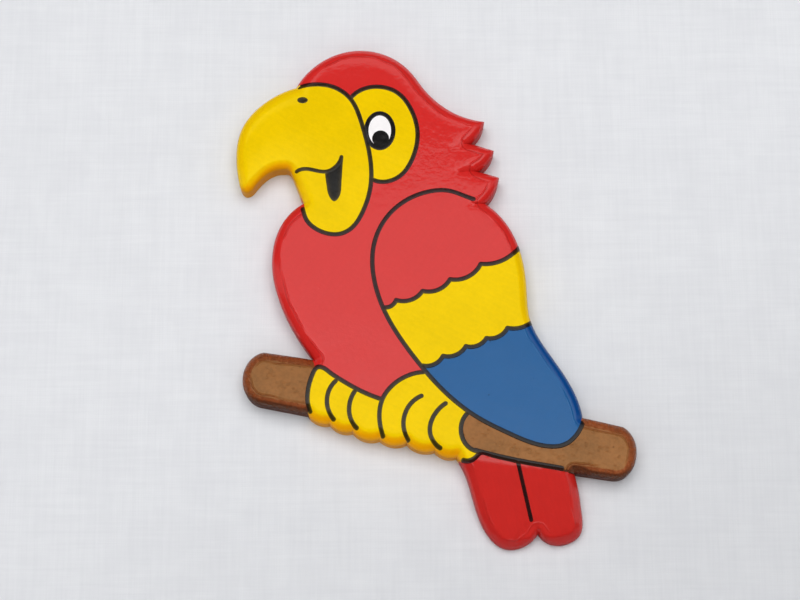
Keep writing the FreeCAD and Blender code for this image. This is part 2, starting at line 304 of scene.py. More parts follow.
def mitres(behind: np.ndarray, ahead: np.ndarray, longest: float = 4.0) -> np.ndarray:
    """Finds how points move when both sides of each move inwards by 1.

    Args:
        behind: The way in from the side that ends at each point.
        ahead: The way in from the side that starts there.
        longest: How far a point moves at most.

    Returns:
        One move for each point.
    """
    middle = ahead + behind
    size = np.maximum(np.linalg.norm(middle, axis=1, keepdims=True), 1e-6)
    return middle / size * np.minimum(2 / size, longest)


def rows_inside(
    loop: np.ndarray, depths: np.ndarray, notch_turn: float = 12.0, fan: int = 9
) -> tuple[np.ndarray, np.ndarray]:
    """Lays rows of points at given depths inside a closed outline, fanned out round its notches.

    Args:
        loop: The closed outline, with its inside on the left.
        depths: How deep each row lies.
        notch_turn: How sharply the outline turns in at a notch, at least, in degrees.
        fan: How many rays spread from a notch.

    Returns:
        The points of all rows, and the depth that each was meant to have.
    """
    ahead = left_of(np.roll(loop, -1, 0) - loop)
    behind = left_of(loop - np.roll(loop, 1, 0))
    moves = mitres(behind, ahead)
    points = [loop + moves * depth for depth in depths]
    meant = [np.full(len(loop), depth) for depth in depths]
    crossing = behind[:, 0] * ahead[:, 1] - behind[:, 1] * ahead[:, 0]
    for index in np.flatnonzero(crossing < -math.sin(math.radians(notch_turn))):
        for share in np.linspace(0, 1, fan):
            ray = behind[index] * (1 - share) + ahead[index] * share
            ray /= max(np.linalg.norm(ray), 1e-6)
            points.append(loop[index] + ray * depths[:, None])
            meant.append(depths)
    return np.vstack(points), np.concatenate(meant)


def ring_edges(chains: list[np.ndarray]) -> list[tuple[int, int]]:
    """Lists the sides of closed outlines whose points are numbered one outline after another.

    Args:
        chains: The outlines' points.

    Returns:
        The numbers of each side's two points.
    """
    edges, count = [], 0
    for chain in chains:
        edges += ways_of(list(range(count, count + len(chain))))
        count += len(chain)
    return edges


def triangles(
    points: np.ndarray, edges: list, closed: bool, merge: float
) -> tuple[np.ndarray, np.ndarray]:
    """Joins points of the plan into triangles that keep to given edges.

    Args:
        points: The points.
        edges: Pairs of point numbers that the triangles don't cross.
        closed: Whether only what the edges close in is filled, and not the whole hull.
        merge: Points closer together than this become one.

    Returns:
        The points that are left, and the triangles.
    """
    found = delaunay_2d_cdt([Vector(point) for point in points], edges, [], int(closed), merge)
    return np.array([tuple(point) for point in found[0]]), np.array(found[2])


def band(upper: np.ndarray, lower: np.ndarray) -> list[list[int]]:
    """The four-sided faces between two closed rings with as many points, by point number."""
    return np.stack([np.roll(upper, -1), upper, lower, np.roll(lower, -1)], 1).tolist()


def smoothstep(value: np.ndarray, low: float, high: float) -> np.ndarray:
    """Rises smoothly from 0 at low to 1 at high."""
    share = np.clip((value - low) / (high - low), 0, 1)
    return share * share * (3 - 2 * share)


def wander(points: np.ndarray, pitch: float, seat: float = 0.0) -> np.ndarray:
    """Smooth noise over the plan, between about -1 and 1.

    Args:
        points: The points of the plan.
        pitch: How wide its swells are, in millimetres.
        seat: Where the noise is cut through, so that two uses differ.

    Returns:
        One value for each point.
    """
    return np.array([noise.noise(Vector((x / pitch, seat, z / pitch))) for x, z in points])


# ------------------------------------------------------------------------------ the carved face
@dataclass(frozen=True)
class Patch:
    """A box of the plan with soft borders, which goes on for ever where no border is given.

    Attributes:
        left: The two values of x between which it fades in.
        right: The two values of x between which it fades out.
        bottom: The two values of z between which it fades in.
        top: The two values of z between which it fades out.
        under: The z at which it stops short.
    """

    left: tuple[float, float] | None = None
    right: tuple[float, float] | None = None
    bottom: tuple[float, float] | None = None
    top: tuple[float, float] | None = None
    under: float = math.inf

    def share(self, points: np.ndarray) -> np.ndarray:
        """Tells how far each point lies in it.

        Args:
            points: The points of the plan.

        Returns:
            One share for each point, from 0 to 1.
        """
        x, z = points.T
        share = np.where(z < self.under, 1.0, 0.0)
        for value, rising, falling in ((x, self.left, self.right), (z, self.bottom, self.top)):
            if rising:
                share = share * smoothstep(value, *rising)
            if falling:
                share = share * (1 - smoothstep(value, *falling))
        return share


@dataclass(frozen=True)
class Disc:
    """A round part of the plan with a soft border.

    Attributes:
        centre: Its middle.
        whole: The radius at which it starts to fade.
        gone: The radius at which it has faded out.
    """

    centre: tuple[float, float]
    whole: float
    gone: float

    def share(self, points: np.ndarray) -> np.ndarray:
        """Tells how far each point lies in it.

        Args:
            points: The points of the plan.

        Returns:
            One share for each point, from 0 to 1.
        """
        across, up = (points - np.array(self.centre)).T
        return 1 - smoothstep(np.hypot(across, up), self.whole, self.gone)


HEAD = Patch(left=(-22.0, -14.0), bottom=(19.0, 27.0))
CREST = Patch(left=(3.0, 6.0), bottom=(17.5, 19.0))
BEAK = Patch(right=(-25.0, -21.0), bottom=(17.0, 20.0))
UNDER_BEAK = Disc((-30.5, 25.0), 3.0, 6.5)
WING_SIDE = Patch(left=(14.0, 18.0), bottom=(-24.0, -21.0), top=(-7.0, -2.0))
TOES = Patch(left=(-24.5, -23.0), right=(4.0, 5.0), top=(-21.0, -18.0))
PERCH_LEFT = Patch(right=(-24.5, -23.5), under=-9.0)
PERCH_RIGHT = Patch(left=(26.5, 28.0), under=-9.0)
TAIL_RIGHT = Patch(left=(19.0, 23.0))
TAIL_NOTCH = Disc((18.3, -42.6), 1.5, 4.0)


@dataclass
class Valley:
    """A cut that runs from a notch of the outline into the face, such as under a crest feather.

    Attributes:
        notch: Where it starts, on the outline.
        end: Where it runs out.
        depth: How deep it is at the notch.
        width: How wide its lower flank is at the notch.
        steep: How wide its upper flank is.
        end_width: The share of its width that is left at its end.
        run_up: How far it reaches back past the notch, as a share of its length.
        deepest: How far it goes on deepening there, where 1 is the notch.
    """

    notch: tuple[float, float]
    end: tuple[float, float]
    depth: float = 0.85
    width: float = 1.25
    steep: float = 0.3
    end_width: float = 0.3
    run_up: float = 0.6
    deepest: float = 1.3

    def drop(self, points: np.ndarray) -> np.ndarray:
        """Works out how far the cut lowers the face, deepest along its line.

        Args:
            points: The points of the plan.

        Returns:
            One depth for each point.
        """
        start, along = np.array(self.notch), np.array(self.end) - np.array(self.notch)
        length = np.linalg.norm(along)
        along = along / length
        offset = points - start
        way = offset @ along / length
        below = offset @ np.array([-along[1], along[0]])
        fade = np.sqrt(np.clip(1 - way, 0, self.deepest))
        width = self.width * (self.end_width + (1 - self.end_width) * fade)
        flank = np.where(below > 0, 1 - below / width, 1 + below / self.steep)
        return self.depth * fade * np.clip(flank, 0, 1) * (way > -self.run_up)


@dataclass
class CarvedFace:
    """The shape of the board's face under the paint.

    Attributes:
        face: Height of the flat face over the back.
        thinnest: The least height that the wood keeps anywhere.
        bevel: Width of the sloping band along the front edge.
        bevel_sway: How far that width wanders, as a share.
        tail_widening: How much wider the band is at the tail, as a share.
        narrowed: Where the band is narrower, and by which share.
        slope: How steeply the band falls, as a share of its width.
        knee: How softly the band turns into the flat.
        soft_knee: How much softer it turns at the beak.
        toe_knee: The share of that softness at the toes.
        perch_knee: How much sharper the knee is at the perch, as a share.
        corner: Radius where the band turns into the wall.
        crown: How far the face sinks from the flat to the edge, everywhere.
        head_crown: How much more it sinks at the head.
        tail_crown: How much more it sinks at the tail.
        tail_right_crown: How much more again it sinks at the tail's right.
        crown_width: How far from the edge the sinking starts.
        ripple: How far the face is uneven.
        tail_step: How far the tail lies under the perch where they meet.
        tail_top: Two points on the line where they meet.
        tail_slope: How steeply the tail's face falls away, in degrees.
        step_roll: Width over which the perch's edge rolls down to the tail.
        spacing: Distance between points along the outline.
        fill: Distance between points on the flat.
        rows: How far inside the outline the rows of points along it lie.
        row_play: How far off such a point may lie, as a share of its depth.
        least_play: How far off it may lie at any depth.
        valleys: The cuts at the crest and at the tail's notch.
    """

    face: float = 5.0
    thinnest: float = 0.6
    bevel: float = 1.3
    bevel_sway: float = 0.12
    tail_widening: float = 0.15
    narrowed: tuple[tuple[Patch | Disc, float], ...] = (
        (WING_SIDE, 0.4), (UNDER_BEAK, 0.3), (CREST, 0.25), (PERCH_LEFT, 0.4), (PERCH_RIGHT, 0.4),
        (TAIL_NOTCH, 0.5),
    )
    slope: float = 0.72
    knee: float = 0.2
    soft_knee: float = 0.6
    toe_knee: float = 0.5
    perch_knee: float = 0.5
    corner: float = 0.6
    crown: float = 0.03
    head_crown: float = 0.17
    tail_crown: float = 0.06
    tail_right_crown: float = 0.3
    crown_width: float = 3.8
    ripple: float = 0.02
    tail_step: float = 0.3
    tail_top: tuple[tuple[float, float], tuple[float, float]] = ((3.6, -29.3), (24.9, -31.9))
    tail_slope: float = 8.0
    step_roll: float = 0.5
    spacing: float = 0.25
    fill: float = 0.55
    rows: tuple[float, ...] = (
        0.015, 0.05, 0.11, 0.19, 0.29, 0.4, 0.6, 0.8, 1.0, 1.15, 1.3, 1.45, 1.6, 1.8, 2.1, 2.6,
    )
    row_play: float = 0.05
    least_play: float = 0.002
    valleys: tuple[Valley, ...] = (
        Valley((6.6, 30.3), (2.9, 29.3)),
        Valley((7.9, 24.9), (3.6, 24.6)),
        Valley((9.2, 18.6), (6.3, 18.2), depth=0.7, width=1.0),
        Valley(TAIL_NOTCH.centre, (17.3, -39.2), depth=0.5, width=0.35, steep=0.45),
        Valley((14.3, -44.6), (16.9, -39.6), depth=0.24, width=0.9, steep=2.4),
    )
    outline: np.ndarray = field(init=False)
    edge: Ruler = field(init=False)
    tail_loops: list[np.ndarray] = field(init=False)
    tail_edge: Ruler = field(init=False)

    def __post_init__(self) -> None:
        """Reads the outlines of the board and of the tail."""
        longest = max(plan_loops("carved_board", back=True), key=len)
        self.outline = smoothed(longest, self.spacing)
        self.edge = Ruler([self.outline])
        self.tail_loops = plan_loops("red_tail_paint")
        self.tail_edge = Ruler(self.tail_loops)

    def in_tail(self, points: np.ndarray) -> np.ndarray:
        """Which points lie on the tail."""
        return within(points, self.tail_loops) | within(points, plan_loops("tail_line"))

    def rim_rows(self) -> np.ndarray:
        """Lays rows of points along the outline, without those that lie nearer to another side.

        Returns:
            The points of all rows.
        """
        rows, meant = rows_inside(self.outline, np.array(self.rows))
        held = np.abs(self.edge.reach(rows) - meant) < self.row_play * meant + self.least_play
        return rows[held & within(rows, [self.outline])]

    def height(self, points: np.ndarray, in_tail: np.ndarray) -> np.ndarray:
        """Works out how high the wood stands over the back.

        Args:
            points: Points of the plan.
            in_tail: Which of them lie on the tail.

        Returns:
            One height for each point, in millimetres.
        """
        edge = self.edge.reach(points)
        rim = self._bevel_drop(points, edge, in_tail) + self._crown_drop(points, edge, in_tail)
        cut = np.max([valley.drop(points) for valley in self.valleys], axis=0)
        drop = np.hypot(rim, cut) + self.ripple * wander(points, 7.0, seat=4.0)
        return np.maximum(self.face - drop - self._tail_drop(points, in_tail), self.thinnest)

    def _bevel_drop(self, points: np.ndarray, edge: np.ndarray, in_tail: np.ndarray) -> np.ndarray:
        """Works out how far the sloping band and the corner under it lower the face.

        Args:
            points: The points of the plan.
            edge: How far each lies inside the outline.
            in_tail: Which of them lie on the tail.

        Returns:
            One depth for each point.
        """
        narrow = sum(share * place.share(points) for place, share in self.narrowed)
        sway = self.bevel_sway * wander(points, 9.0)
        short = self.bevel * (1 + sway + self.tail_widening * in_tail - narrow) - edge
        perch = np.maximum(PERCH_LEFT.share(points), PERCH_RIGHT.share(points))
        soft = np.maximum(self.toe_knee * TOES.share(points), BEAK.share(points))
        knee = self.knee * (1 - self.perch_knee * perch) + self.soft_knee * soft
        fall = self.slope * (short + np.hypot(short, knee)) / 2
        return fall + self.corner * (1 - np.sqrt(1 - np.clip(1 - edge / self.corner, 0, 1) ** 2))

    def _crown_drop(self, points: np.ndarray, edge: np.ndarray, in_tail: np.ndarray) -> np.ndarray:
        """Works out how far the slight roundness of the face lowers it.

        Args:
            points: The points of the plan.
            edge: How far each lies inside the outline.
            in_tail: Which of them lie on the tail.

        Returns:
            One depth for each point.
        """
        on_tail = (self.tail_crown + self.tail_right_crown * TAIL_RIGHT.share(points)) * in_tail
        crown = self.crown + self.head_crown * HEAD.share(points) + on_tail
        return crown * np.clip(1 - edge / self.crown_width, 0, 1) ** 2

    def _tail_drop(self, points: np.ndarray, in_tail: np.ndarray) -> np.ndarray:
        """Works out how far the tail, and the rolled edge of the perch over it, lie under the face.

        Args:
            points: The points of the plan.
            in_tail: Which of them lie on the tail.

        Returns:
            One depth for each point.
        """
        left, right = np.array(self.tail_top)
        along = (right - left) / np.linalg.norm(right - left)
        under = (points - left) @ np.array([along[1], -along[0]])
        tail = self.tail_step + np.maximum(under, 0) * math.tan(math.radians(self.tail_slope))
        roll = np.clip(1 - self.tail_edge.reach(points) / self.step_roll, 0, 1)
        return tail * np.where(in_tail, 1.0, 1 - np.sqrt(1 - roll**2))


@dataclass
class ShortEnd:
    """A black line that stops before the rounded edge.

    Attributes:
        line: The line's node.
        point: Where the middle of its round end lies.
        onward: Roughly the way in which the line would have gone on.
        coat: The coat that covers the edge beyond it.
        radius: Radius of the round end.
        length: How far beyond it the coat reaches.
        half_width: How far to either side it reaches.
    """

    line: str
    point: tuple[float, float]
    onward: tuple[float, float]
    coat: str
    radius: float = 0.43
    length: float = 4.0
    half_width: float = 0.75

    def cap(self) -> np.ndarray:
        """The round end as a closed outline."""
        turns = np.linspace(0, 2 * math.pi, 24, endpoint=False)
        return np.array(self.point) + self.radius * np.stack([np.cos(turns), np.sin(turns)], 1)

    def beyond(self, points: np.ndarray) -> np.ndarray:
        """Tells which points lie past the round end.

        Args:
            points: The points of the plan.

        Returns:
            One truth value for each point.
        """
        offset = points - np.array(self.point)
        onward = np.array(self.onward) / math.hypot(*self.onward)
        far = np.linalg.norm(offset, axis=1)
        aside = np.abs(offset @ np.array([-onward[1], onward[0]]))
        between = (far > self.radius) & (far < self.length)
        return (offset @ onward > 0) & between & (aside < self.half_width)


@dataclass
class Rim:
    """The open border of the painted face, from which the wall goes down.

    Attributes:
        edges: Pairs of point numbers along it.
        points: The numbers of its points, in rising order.
        out: The way out of the figure at each of its points.
    """

    edges: np.ndarray
    points: np.ndarray
    out: np.ndarray


@dataclass
class Skin:
    """The fine surface of the painted face and edge, shared out among its coats and lines.

    Attributes:
        shape: The carved face that it lies on.
        coat: Thickness of the enamel.
        bead: How far the middle of a black line stands over the enamel.
        bead_rise: How far in from its edge a line reaches that height.
        back_lip: How far the enamel creeps round onto the back, at most.
        least_lip: How far it creeps at least.
        lip_shares: Where the rows of points on that lip lie, as shares of it.
        lip_heights: How proud of the back each of those rows stands.
        thin: How far in from its edge a black line lets the coat beneath show through.
        blended: From how many triangles the colour beneath a line is averaged.
        cut_step: Distance between the points that are tried along a line's edge.
        cut_stride: How many of them make one step on the flat.
        line_rows: How far inside the lines' edges the rows of points lie.
        line_play: How far off such a point may lie, as a share of its depth.
        line_gap: How far the net of points on the flat keeps from the lines' edges.
        rim_gap: How far it keeps from the last row along the outline.
        tail_gap: How far the points along the tail's edge keep from the lines' edges to be joined.
        merge: Points of the plan that are closer together than this become one.
        wall_rows: How high the rows of points on the wall lie, as shares of the wall.
        first_wall_depth: What edge_depth says on the first of those rows.
        wall_depth: What it says on the others and on the lip.
        short_ends: The lines that stop before the edge.
    """

    shape: CarvedFace
    coat: float = 0.12
    bead: float = 0.03
    bead_rise: float = 0.3
    back_lip: float = 0.75
    least_lip: float = 0.06
    lip_shares: tuple[float, float] = (0.6, 1.0)
    lip_heights: tuple[float, float] = (0.03, 0.004)
    thin: float = 0.25
    blended: int = 10
    cut_step: float = 0.03
    cut_stride: int = 7
    line_rows: tuple[float, ...] = (0.06, 0.15, 0.28, 0.42)
    line_play: float = 0.08
    line_gap: float = 0.22
    rim_gap: float = 0.3
    tail_gap: float = 0.06
    merge: float = 0.004
    wall_rows: tuple[float, ...] = (0.75, 0.5, 0.25, 0.0)
    first_wall_depth: float = -0.6
    wall_depth: float = -1.0
    short_ends: tuple[ShortEnd, ...] = (
        ShortEnd("wing_line", (7.1, 19.25), (1.0, -0.3), "red_plumage_paint"),
        ShortEnd("wing_line", (26.35, -23.0), (0.2, 1.0), "brown_perch_right_paint"),
        ShortEnd("beak_line", (-25.4, 41.0), (-1.0, -0.1), "yellow_beak_paint"),
        ShortEnd("beak_line", (-24.75, 17.4), (-0.15, 1.0), "red_plumage_paint"),
        ShortEnd(
            "feet_line", (-21.4, -13.4), (-0.39, 0.92), "red_plumage_paint", radius=1.38, half_width=0.6
        ),
        ShortEnd("feet_line", (-23.05, -20.6), (0.15, -1.0), "yellow_feet_paint"),
        ShortEnd("perch_line", (22.6, -31.2), (1.0, -0.2), "brown_perch_right_paint"),
    )
    plan: np.ndarray = field(init=False)
    faces: np.ndarray = field(init=False)
    owner: np.ndarray = field(init=False)
    loops: dict[str, list[np.ndarray]] = field(init=False)
    base: np.ndarray = field(init=False)
    outer: np.ndarray = field(init=False)
    rim: Rim = field(init=False)
    walls: np.ndarray = field(init=False)
    wall_owner: np.ndarray = field(init=False)
    depth: np.ndarray = field(init=False)
    beneath: np.ndarray = field(init=False)

    def __post_init__(self) -> None:
        """Lays the points, joins them up and shares the faces out."""
        self.loops = {name: plan_loops(name) for name in PAINTED}
        self._triangulate()
        self._share_out()
        self._raise()
        self._blend_beneath()

    def _cut_rows(self, loop: np.ndarray) -> np.ndarray:
        """Lays points along a line's edge, closer together where it crosses the rounded edge.

        Args:
            loop: The line's edge.

        Returns:
            The new closed outline.
        """
        fine = divided(loop, self.cut_step)
        levels = np.array([0, *self.shape.rows])
        level = np.searchsorted(levels, self.shape.edge.reach(fine))
        kept = [0]
        for index in range(1, len(fine)):
            if index - kept[-1] >= self.cut_stride or level[index] != level[kept[-1]]:
                kept.append(index)
        return fine[kept]

    def _flanks(self, cuts: list[np.ndarray]) -> np.ndarray:
        """Lays rows of points inside the lines, along their edges.

        Args:
            cuts: The lines' edges.

        Returns:
            The points of all rows.
        """
        depths = np.array(self.line_rows)
        found = []
        for loop in cuts:
            points, meant = rows_inside(loop, depths)
            off = np.abs(Ruler([loop]).reach(points) - meant)
            found.append(points[off < self.line_play * meant])
        found = np.vstack(found)
        clear = self.shape.edge.reach(found) > self.shape.bevel
        return found[within(found, [self.shape.outline]) & clear]

    def _flat(self, line_edge: Ruler) -> np.ndarray:
        """Lays an even net of points over the flat, clear of the edge and of the lines.

        Args:
            line_edge: Measures from the lines' edges.

        Returns:
            The points.
        """
        outline, pitch = self.shape.outline, self.shape.fill
        low, high = outline.min(0), outline.max(0)
        across, up = np.meshgrid(
            np.arange(low[0], high[0], pitch),
            np.arange(low[1], high[1], pitch * math.sqrt(0.75)),
        )
        across[1::2] += pitch / 2
        flat = np.stack([across.ravel(), up.ravel()], 1)
        flat = flat[within(flat, [outline])]
        flat = flat[self.shape.edge.reach(flat) > self.shape.rows[-1] + self.rim_gap]
        return flat[line_edge.reach(flat) > self.line_gap]

    def _tail_chain(self, line_edge: Ruler, start: int) -> tuple[np.ndarray, list[tuple[int, int]]]:
        """Lays points along the tail's edge, where the face steps down.

        Args:
            line_edge: Measures from the lines' edges.
            start: The number that the first of the points gets.

        Returns:
            The points, and the pairs of them that are joined, which are clear of the lines.
        """
        step = Ruler.STEP
        tail = np.vstack([divided(loop, step) for loop in self.shape.tail_loops])
        free = line_edge.reach(tail) > self.tail_gap
        near = np.linalg.norm(np.roll(tail, -1, 0) - tail, axis=1) < 1.5 * step
        joined = free & np.roll(free, -1) & near
        ring = np.arange(start, start + len(tail))
        return tail, list(zip(ring[joined].tolist(), np.roll(ring, -1)[joined].tolist()))

    def _triangulate(self) -> None:
        """Joins the outline, the rows along it, the lines and the flat into one set of triangles."""
        rows = self.shape.rim_rows()
        cuts = [self._cut_rows(loop) for name in LINES for loop in self.loops[name]]
        line_edge = Ruler(cuts)
        chains = [self.shape.outline, *cuts, *[end.cap() for end in self.short_ends]]
        tail, tail_edges = self._tail_chain(line_edge, sum(len(chain) for chain in chains))
        points = np.vstack([*chains, tail, rows, self._flanks(cuts), self._flat(line_edge)])
        edges = ring_edges(chains) + tail_edges
        self.plan, faces = triangles(points, edges, closed=False, merge=self.merge)
        self.faces = faces[within(self.plan[faces].mean(1), [self.shape.outline])]

    def _share_out(self) -> None:
        """Gives each triangle to the line or coat whose outline holds its middle."""
        middles = self.plan[self.faces].mean(1)
        owner = np.full(len(self.faces), -1)
        for index, name in enumerate(PAINTED):
            owner[(owner < 0) & within(middles, self.loops[name])] = index
        for end in self.short_ends:
            gone = (owner == PAINTED.index(end.line)) & end.beyond(middles)
            owner[gone] = PAINTED.index(end.coat)
        while (owner < 0).any():
            self._adopt(owner)
        self.owner = owner

    def _adopt(self, owner: np.ndarray) -> None:
        """Gives the triangles that nobody owns to a neighbour.

        Args:
            owner: Who owns each triangle, below 0 for nobody, changed in place.
        """
        faces = self.faces.tolist()
        owned = np.flatnonzero(owner >= 0)
        beside = {way: owner[index] for index in owned for way in ways_of(faces[index])}
        lost = np.flatnonzero(owner < 0)
        for index in lost:
            near = [beside[(b, a)] for a, b in ways_of(faces[index]) if (b, a) in beside]
            owner[index] = near[0] if near else -1
        if (owner[lost] < 0).all():
            owner[lost] = len(LINES)

    def _raise(self) -> None:
        """Raises the plan to the carved height, and adds the edge's wall and the lip on the back."""
        in_tail = np.zeros(len(self.plan), bool)
        tail = [PAINTED.index("red_tail_paint"), PAINTED.index("tail_line")]
        in_tail[self.faces[np.isin(self.owner, tail)].ravel()] = True
        height = self.shape.height(self.plan, in_tail)
        self._find_rim()
        rings = self._rings(height[self.rim.points])
        self.base = np.vstack([np.stack([self.plan[:, 0], -height, self.plan[:, 1]], 1), *rings])
        width = len(self.rim.points)
        numbers = len(self.plan) + np.arange(width * len(rings)).reshape(-1, width)
        rows = [self.rim.points, *numbers]
        self.walls = np.array([self._wall(upper, lower) for upper, lower in zip(rows, rows[1:])])
        below = [self.first_wall_depth, *[self.wall_depth] * (len(rings) - 1)]
        self.depth = np.concatenate([self.shape.edge.reach(self.plan), np.repeat(below, width)])
        self._lay_paint(rows)

    def _find_rim(self) -> None:
        """Finds the triangles' edges that no other triangle shares, and who owns them."""
        edges = np.concatenate([self.faces[:, pair] for pair in ([0, 1], [1, 2], [2, 0])])
        ways = edges.tolist()
        known = {(a, b) for a, b in ways}
        is_open = np.array([(b, a) not in known for a, b in ways])
        edges, self.wall_owner = edges[is_open], np.tile(self.owner, 3)[is_open]
        points = np.unique(edges)
        out = np.zeros((len(self.plan), 2))
        for end in (0, 1):
            np.add.at(out, edges[:, end], -left_of(self.plan[edges[:, 1]] - self.plan[edges[:, 0]]))
        out = out[points] / np.linalg.norm(out[points], axis=1, keepdims=True)
        self.rim = Rim(edges, points, out)

    def _rings(self, top: np.ndarray) -> list[np.ndarray]:
        """The rows of points down the wall and in over the back.

        Args:
            top: How high the wood stands at the rim's points.

        Returns:
            The points of each row.
        """
        plan = self.plan[self.rim.points]
        rings = [np.stack([plan[:, 0], -top * share, plan[:, 1]], 1) for share in self.wall_rows]
        fine, broad = wander(plan, 1.6, seat=2.0), wander(plan, 5.0)
        creep = self.back_lip * (0.55 + 0.45 * fine + 0.35 * broad)
        creep = np.clip(creep, self.least_lip, self.back_lip)
        for share in self.lip_shares:
            inner = plan - self.rim.out * (creep * share)[:, None]
            rings.append(np.stack([inner[:, 0], np.zeros(len(inner)), inner[:, 1]], 1))
        return rings

    def _wall(self, upper: np.ndarray, lower: np.ndarray) -> np.ndarray:
        """The four-sided faces between two rows of the wall, one below each edge of the rim."""
        first, second = np.searchsorted(self.rim.points, self.rim.edges).T
        return np.stack([upper[second], upper[first], lower[first], lower[second]], 1)

    def _thickness(self) -> np.ndarray:
        """Works out how thick the paint is, with the black lines' beads.

        Returns:
            One thickness for each point of the plan.
        """
        thickness = np.full(len(self.plan), self.coat)
        for index, name in enumerate(LINES):
            mine = np.unique(self.faces[self.owner == index])
            depth = Ruler(self.loops[name]).reach(self.plan[mine])
            rise = np.clip(depth / self.bead_rise, 0, 1)
            thickness[mine] += self.bead * np.sqrt(1 - (1 - rise) ** 2)
        return thickness

    def _lay_paint(self, rows: list[np.ndarray], least_level: float = 0.3) -> None:
        """Works out the paint's outer surface from the wood's.

        Args:
            rows: The numbers of the rim's points and of each row under it.
            least_level: How level the rim's normals are taken to be, at least.
        """
        count, rim, out = len(self.plan), self.rim.points, self.rim.out
        normal = self._normals(np.vstack([self.faces, *self.walls[:, :, :3]]))
        self.outer = self.base.copy()
        self.outer[:count] += normal[:count] * self._thickness()[:, None]
        sideways = np.stack([out[:, 0], np.zeros(len(out)), out[:, 1]], 1)
        for row in rows[1 : 1 + len(self.wall_rows)]:
            self.outer[row] += sideways * self.coat
        for row, proud in zip(rows[-2:], self.lip_heights):
            self.outer[row, 1] += proud
        level = np.linalg.norm(normal[rim][:, [0, 2]], axis=1, keepdims=True)
        aside = normal[rim] * [1, 0, 1] * self.coat / np.maximum(level, least_level)
        self.outer[rim] = self.base[rim] + aside

    def _blend_beneath(self) -> None:
        """Works out, for the points of lines, the colour of the coats beneath and how far it shows."""
        middles = self.plan[self.faces].mean(1)
        coats = np.flatnonzero(self.owner >= len(LINES))
        colours = np.array([ENAMELS[enamel_of(name)].colour[:3] for name in COATS])
        tree = KDTree(len(coats))
        for index, face in enumerate(coats):
            tree.insert((*middles[face], 0.0), index)
        tree.balance()
        self.beneath = np.zeros((len(self.base), 4))
        for index, name in enumerate(LINES):
            if name == "eye_ring_and_pupil":
                continue
            for point in np.unique(self.faces[self.owner == index]):
                found = tree.find_n((*self.plan[point], 0.0), self.blended)
                far = found[0][2]
                owners = self.owner[coats[[order for _, order, _ in found]]] - len(LINES)
                self.beneath[point] = (*colours[owners].mean(0), math.exp(-far / self.thin))

    def _normals(self, faces: np.ndarray) -> np.ndarray:
        """Works out the base surface's normals.

        Args:
            faces: The triangles that count.

        Returns:
            One unit normal for each point.
        """
        a, b, c = (self.base[faces[:, corner]] for corner in range(3))
        flat = np.cross(b - a, c - a)
        total = np.zeros_like(self.base)
        for corner in range(3):
            np.add.at(total, faces[:, corner], flat)
        return total / np.maximum(np.linalg.norm(total, axis=1, keepdims=True), TINY)

    def piece(self, node: str) -> bpy.types.Object:
        """Makes one coat or line as a closed skin over the wood.

        Args:
            node: The CAD node that it stands for.

        Returns:
            The new object, without a material.
        """
        index = PAINTED.index(node)
        polygons = self.faces[self.owner == index].tolist()
        for quads in self.walls:
            polygons += quads[self.wall_owner == index].tolist()
        all_ways = {way for face in polygons for way in ways_of(face)}
        open_ways = [(a, b) for a, b in all_ways if (b, a) not in all_ways]
        used = sorted({point for face in polygons for point in face})
        seat = {point: order for order, point in enumerate(used)}
        count = len(used)
        shell = [[seat[point] for point in face] for face in polygons]
        under = [[point + count for point in reversed(face)] for face in shell]
        skirt = [[seat[b], seat[a], seat[a] + count, seat[b] + count] for a, b in open_ways]
        points = np.vstack([self.outer[used], self.base[used]]) * MM
        name = node.replace("_paint", "_enamel") if node in COATS else f"{node}_paint"
        made = new_piece(name, points, shell + under + skirt)
        depth = made.data.attributes.new("edge_depth", "FLOAT", "POINT")
        depth.data.foreach_set("value", np.tile(self.depth[used], 2))
        beneath = made.data.attributes.new("coat_beneath", "FLOAT_COLOR", "POINT")
        beneath.data.foreach_set("color", np.tile(self.beneath[used], (2, 1)).ravel())
        return made


def new_piece(
    name: str, points: np.ndarray, polygons: list[list[int]], sharp: float = 48.0
) -> bpy.types.Object:
    """Makes a smooth object with sharp edges from points in metres.

    Args:
        name: The object's name.
        points: Its points.
        polygons: Its faces, as lists of point numbers.
        sharp: The turn from which an edge is sharp, in degrees.

    Returns:
        The object, linked into the scene.
    """
    mesh = bpy.data.meshes.new(name)
    mesh.from_pydata(points.tolist(), [], polygons)
    mesh.validate()
    mesh.polygons.foreach_set("use_smooth", [True] * len(mesh.polygons))
    mesh.set_sharp_from_angle(angle=math.radians(sharp))
    made = bpy.data.objects.new(name, mesh)
    bpy.context.scene.collection.objects.link(made)
    return made


def finish_piece(made: bpy.types.Object, material: bpy.types.Material, slot: str, *nodes: str) -> None:
    """Dresses a piece, lets it ride on the figure and hides the CAD nodes that it stands for.

    Args:
        made: The piece.
        material: What it is dressed in.
        slot: The record's material slot; not used.
        *nodes: The CAD nodes.
    """
    made.data.materials.append(material)
    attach(made, BODY)
    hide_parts(*nodes)
    log.info("%s: %d faces, %s", made.name, len(made.data.polygons), material.name)


